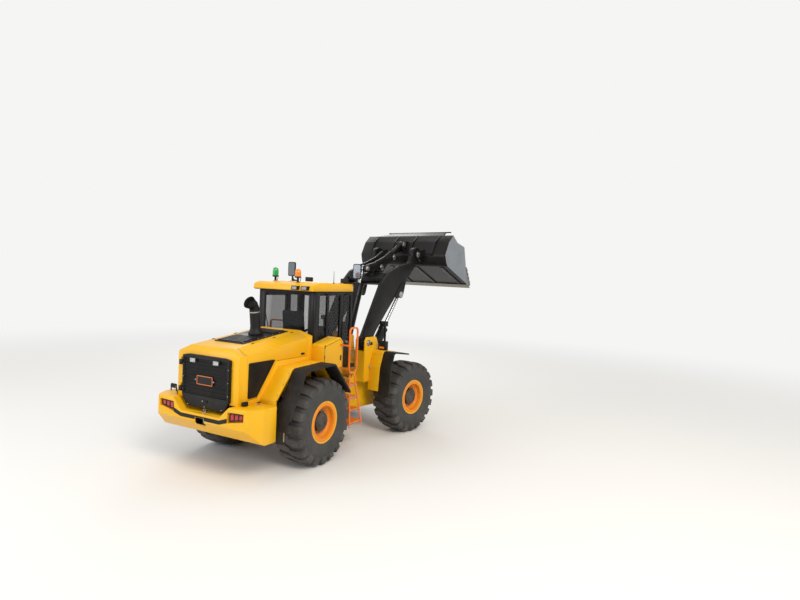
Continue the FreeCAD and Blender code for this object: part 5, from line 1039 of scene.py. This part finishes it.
def stage():
    """A pale matt floor that passes into the background's tone far from the machine."""
    bpy.ops.mesh.primitive_plane_add(size=400, location=(0, 0, SHIFT.z))
    floor = bpy.context.object
    floor.name = "floor"
    ground = bpy.data.materials.new("pale_floor")
    ground.use_nodes = True
    tree = ground.node_tree
    shader = tree.nodes["Principled BSDF"]
    shader.inputs["Base Color"].default_value = linear("#EFEEEB")
    shader.inputs["Roughness"].default_value = 0.9
    shader.inputs["Specular IOR Level"].default_value = 0.2
    place = add(tree, "ShaderNodeTexCoord").outputs["Object"]
    away = add(tree, "ShaderNodeVectorMath", {0: place}, operation="LENGTH")
    fade = add(tree, "ShaderNodeMapRange", {"Value": away.outputs["Value"], "From Min": 7.0,
                                            "From Max": 26.0}, interpolation_type="SMOOTHSTEP")
    pale = add(tree, "ShaderNodeEmission", {"Color": linear(PALE), "Strength": PALE_STRENGTH})
    shown = add(tree, "ShaderNodeMath", {0: fade.outputs["Result"], 1: seen_ray(tree)}, operation="MULTIPLY")
    both = add(tree, "ShaderNodeMixShader", {0: shown.outputs[0], 1: shader.outputs[0], 2: pale.outputs[0]})
    tree.links.new(both.outputs[0], tree.nodes["Material Output"].inputs["Surface"])
    floor.data.materials.append(ground)


def soft_lamp(name, where, target, wide, watts, colour="#FFFFFF"):
    """A round soft lamp, aimed from one place of the machine's frame at another."""
    light = bpy.data.lights.new(name, "AREA")
    light.shape, light.size, light.energy, light.color = "DISK", wide, watts, linear(colour)[:3]
    made = bpy.data.objects.new(name, light)
    bpy.context.scene.collection.objects.link(made)
    made.location = SHIFT + Vector(where)
    made.rotation_euler = (Vector(target) - Vector(where)).to_track_quat("-Z", "Y").to_euler()


def light():
    """Soft light from the right rear as in the yard, and a pale dome."""
    soft_lamp("key_light", (-9, -13, 13), (0, 0, 1.5), 7, 1700, "#FFF6EA")
    soft_lamp("fill_light", (-14, 8, 7), (0, 0, 1.5), 8, 700, "#EAF1FF")
    soft_lamp("rim_light", (12, 9, 9), (0, 0, 2), 9, 420)
    world = bpy.data.worlds.new("studio")
    bpy.context.scene.world = world
    world.use_nodes = True
    tree = world.node_tree
    sky = tree.nodes["Background"]
    # The camera, clear glass and glossy bounces see the plain tone; everything else is lit by a softer dome,
    # bright overhead and dimmer at the sides.
    towards = add(tree, "ShaderNodeTexCoord").outputs["Generated"]
    height = add(tree, "ShaderNodeSeparateXYZ", {"Vector": towards}).outputs["Z"]
    dome = add(tree, "ShaderNodeMapRange", {"Value": height, "From Min": -0.1, "From Max": 0.9,
                                            "To Min": 0.38, "To Max": 0.85})
    strength = add(tree, "ShaderNodeMix", {"Factor": seen_ray(tree), "A": dome.outputs["Result"],
                                           "B": PALE_STRENGTH})
    sky.inputs["Color"].default_value = linear(PALE)
    tree.links.new(strength.outputs["Result"], sky.inputs["Strength"])


def camera():
    """The camera where the photo was taken, with its small roll."""
    place = Vector((-9.965, -7.3, 3.517))
    yaw, pitch, roll = 0.497, -0.039, 0.044
    focal_pixels, photo_pixels, sensor_mm = 555, 800, 36
    ahead = Vector((math.cos(yaw) * math.cos(pitch), math.sin(yaw) * math.cos(pitch), math.sin(pitch)))
    right = ahead.cross(UP).normalized()
    up = right.cross(ahead)
    level, tall = right * math.cos(roll) + up * math.sin(roll), up * math.cos(roll) - right * math.sin(roll)
    lens = bpy.data.cameras.new("camera")
    lens.sensor_width = sensor_mm
    lens.lens = focal_pixels / photo_pixels * sensor_mm
    made = bpy.data.objects.new("camera", lens)
    bpy.context.scene.collection.objects.link(made)
    turned = Matrix((level, tall, -ahead)).transposed().to_4x4()
    made.matrix_world = Matrix.Translation(SHIFT + place) @ turned
    bpy.context.scene.camera = made


for look, pieces in DRESS.items():
    for node, edge in pieces.items():
        dress(node, look, edge)
wheels()
counterweight_dress()
grille_dress()
hood_dress()
fender_dress()
step_dress()
cab_dress()
cab_inside()
front_dress()
articulation()
linkage()
bucket_dress()
stage()
light()
camera()
bpy.context.scene.view_settings.view_transform = "Standard"
bpy.context.view_layer.update()
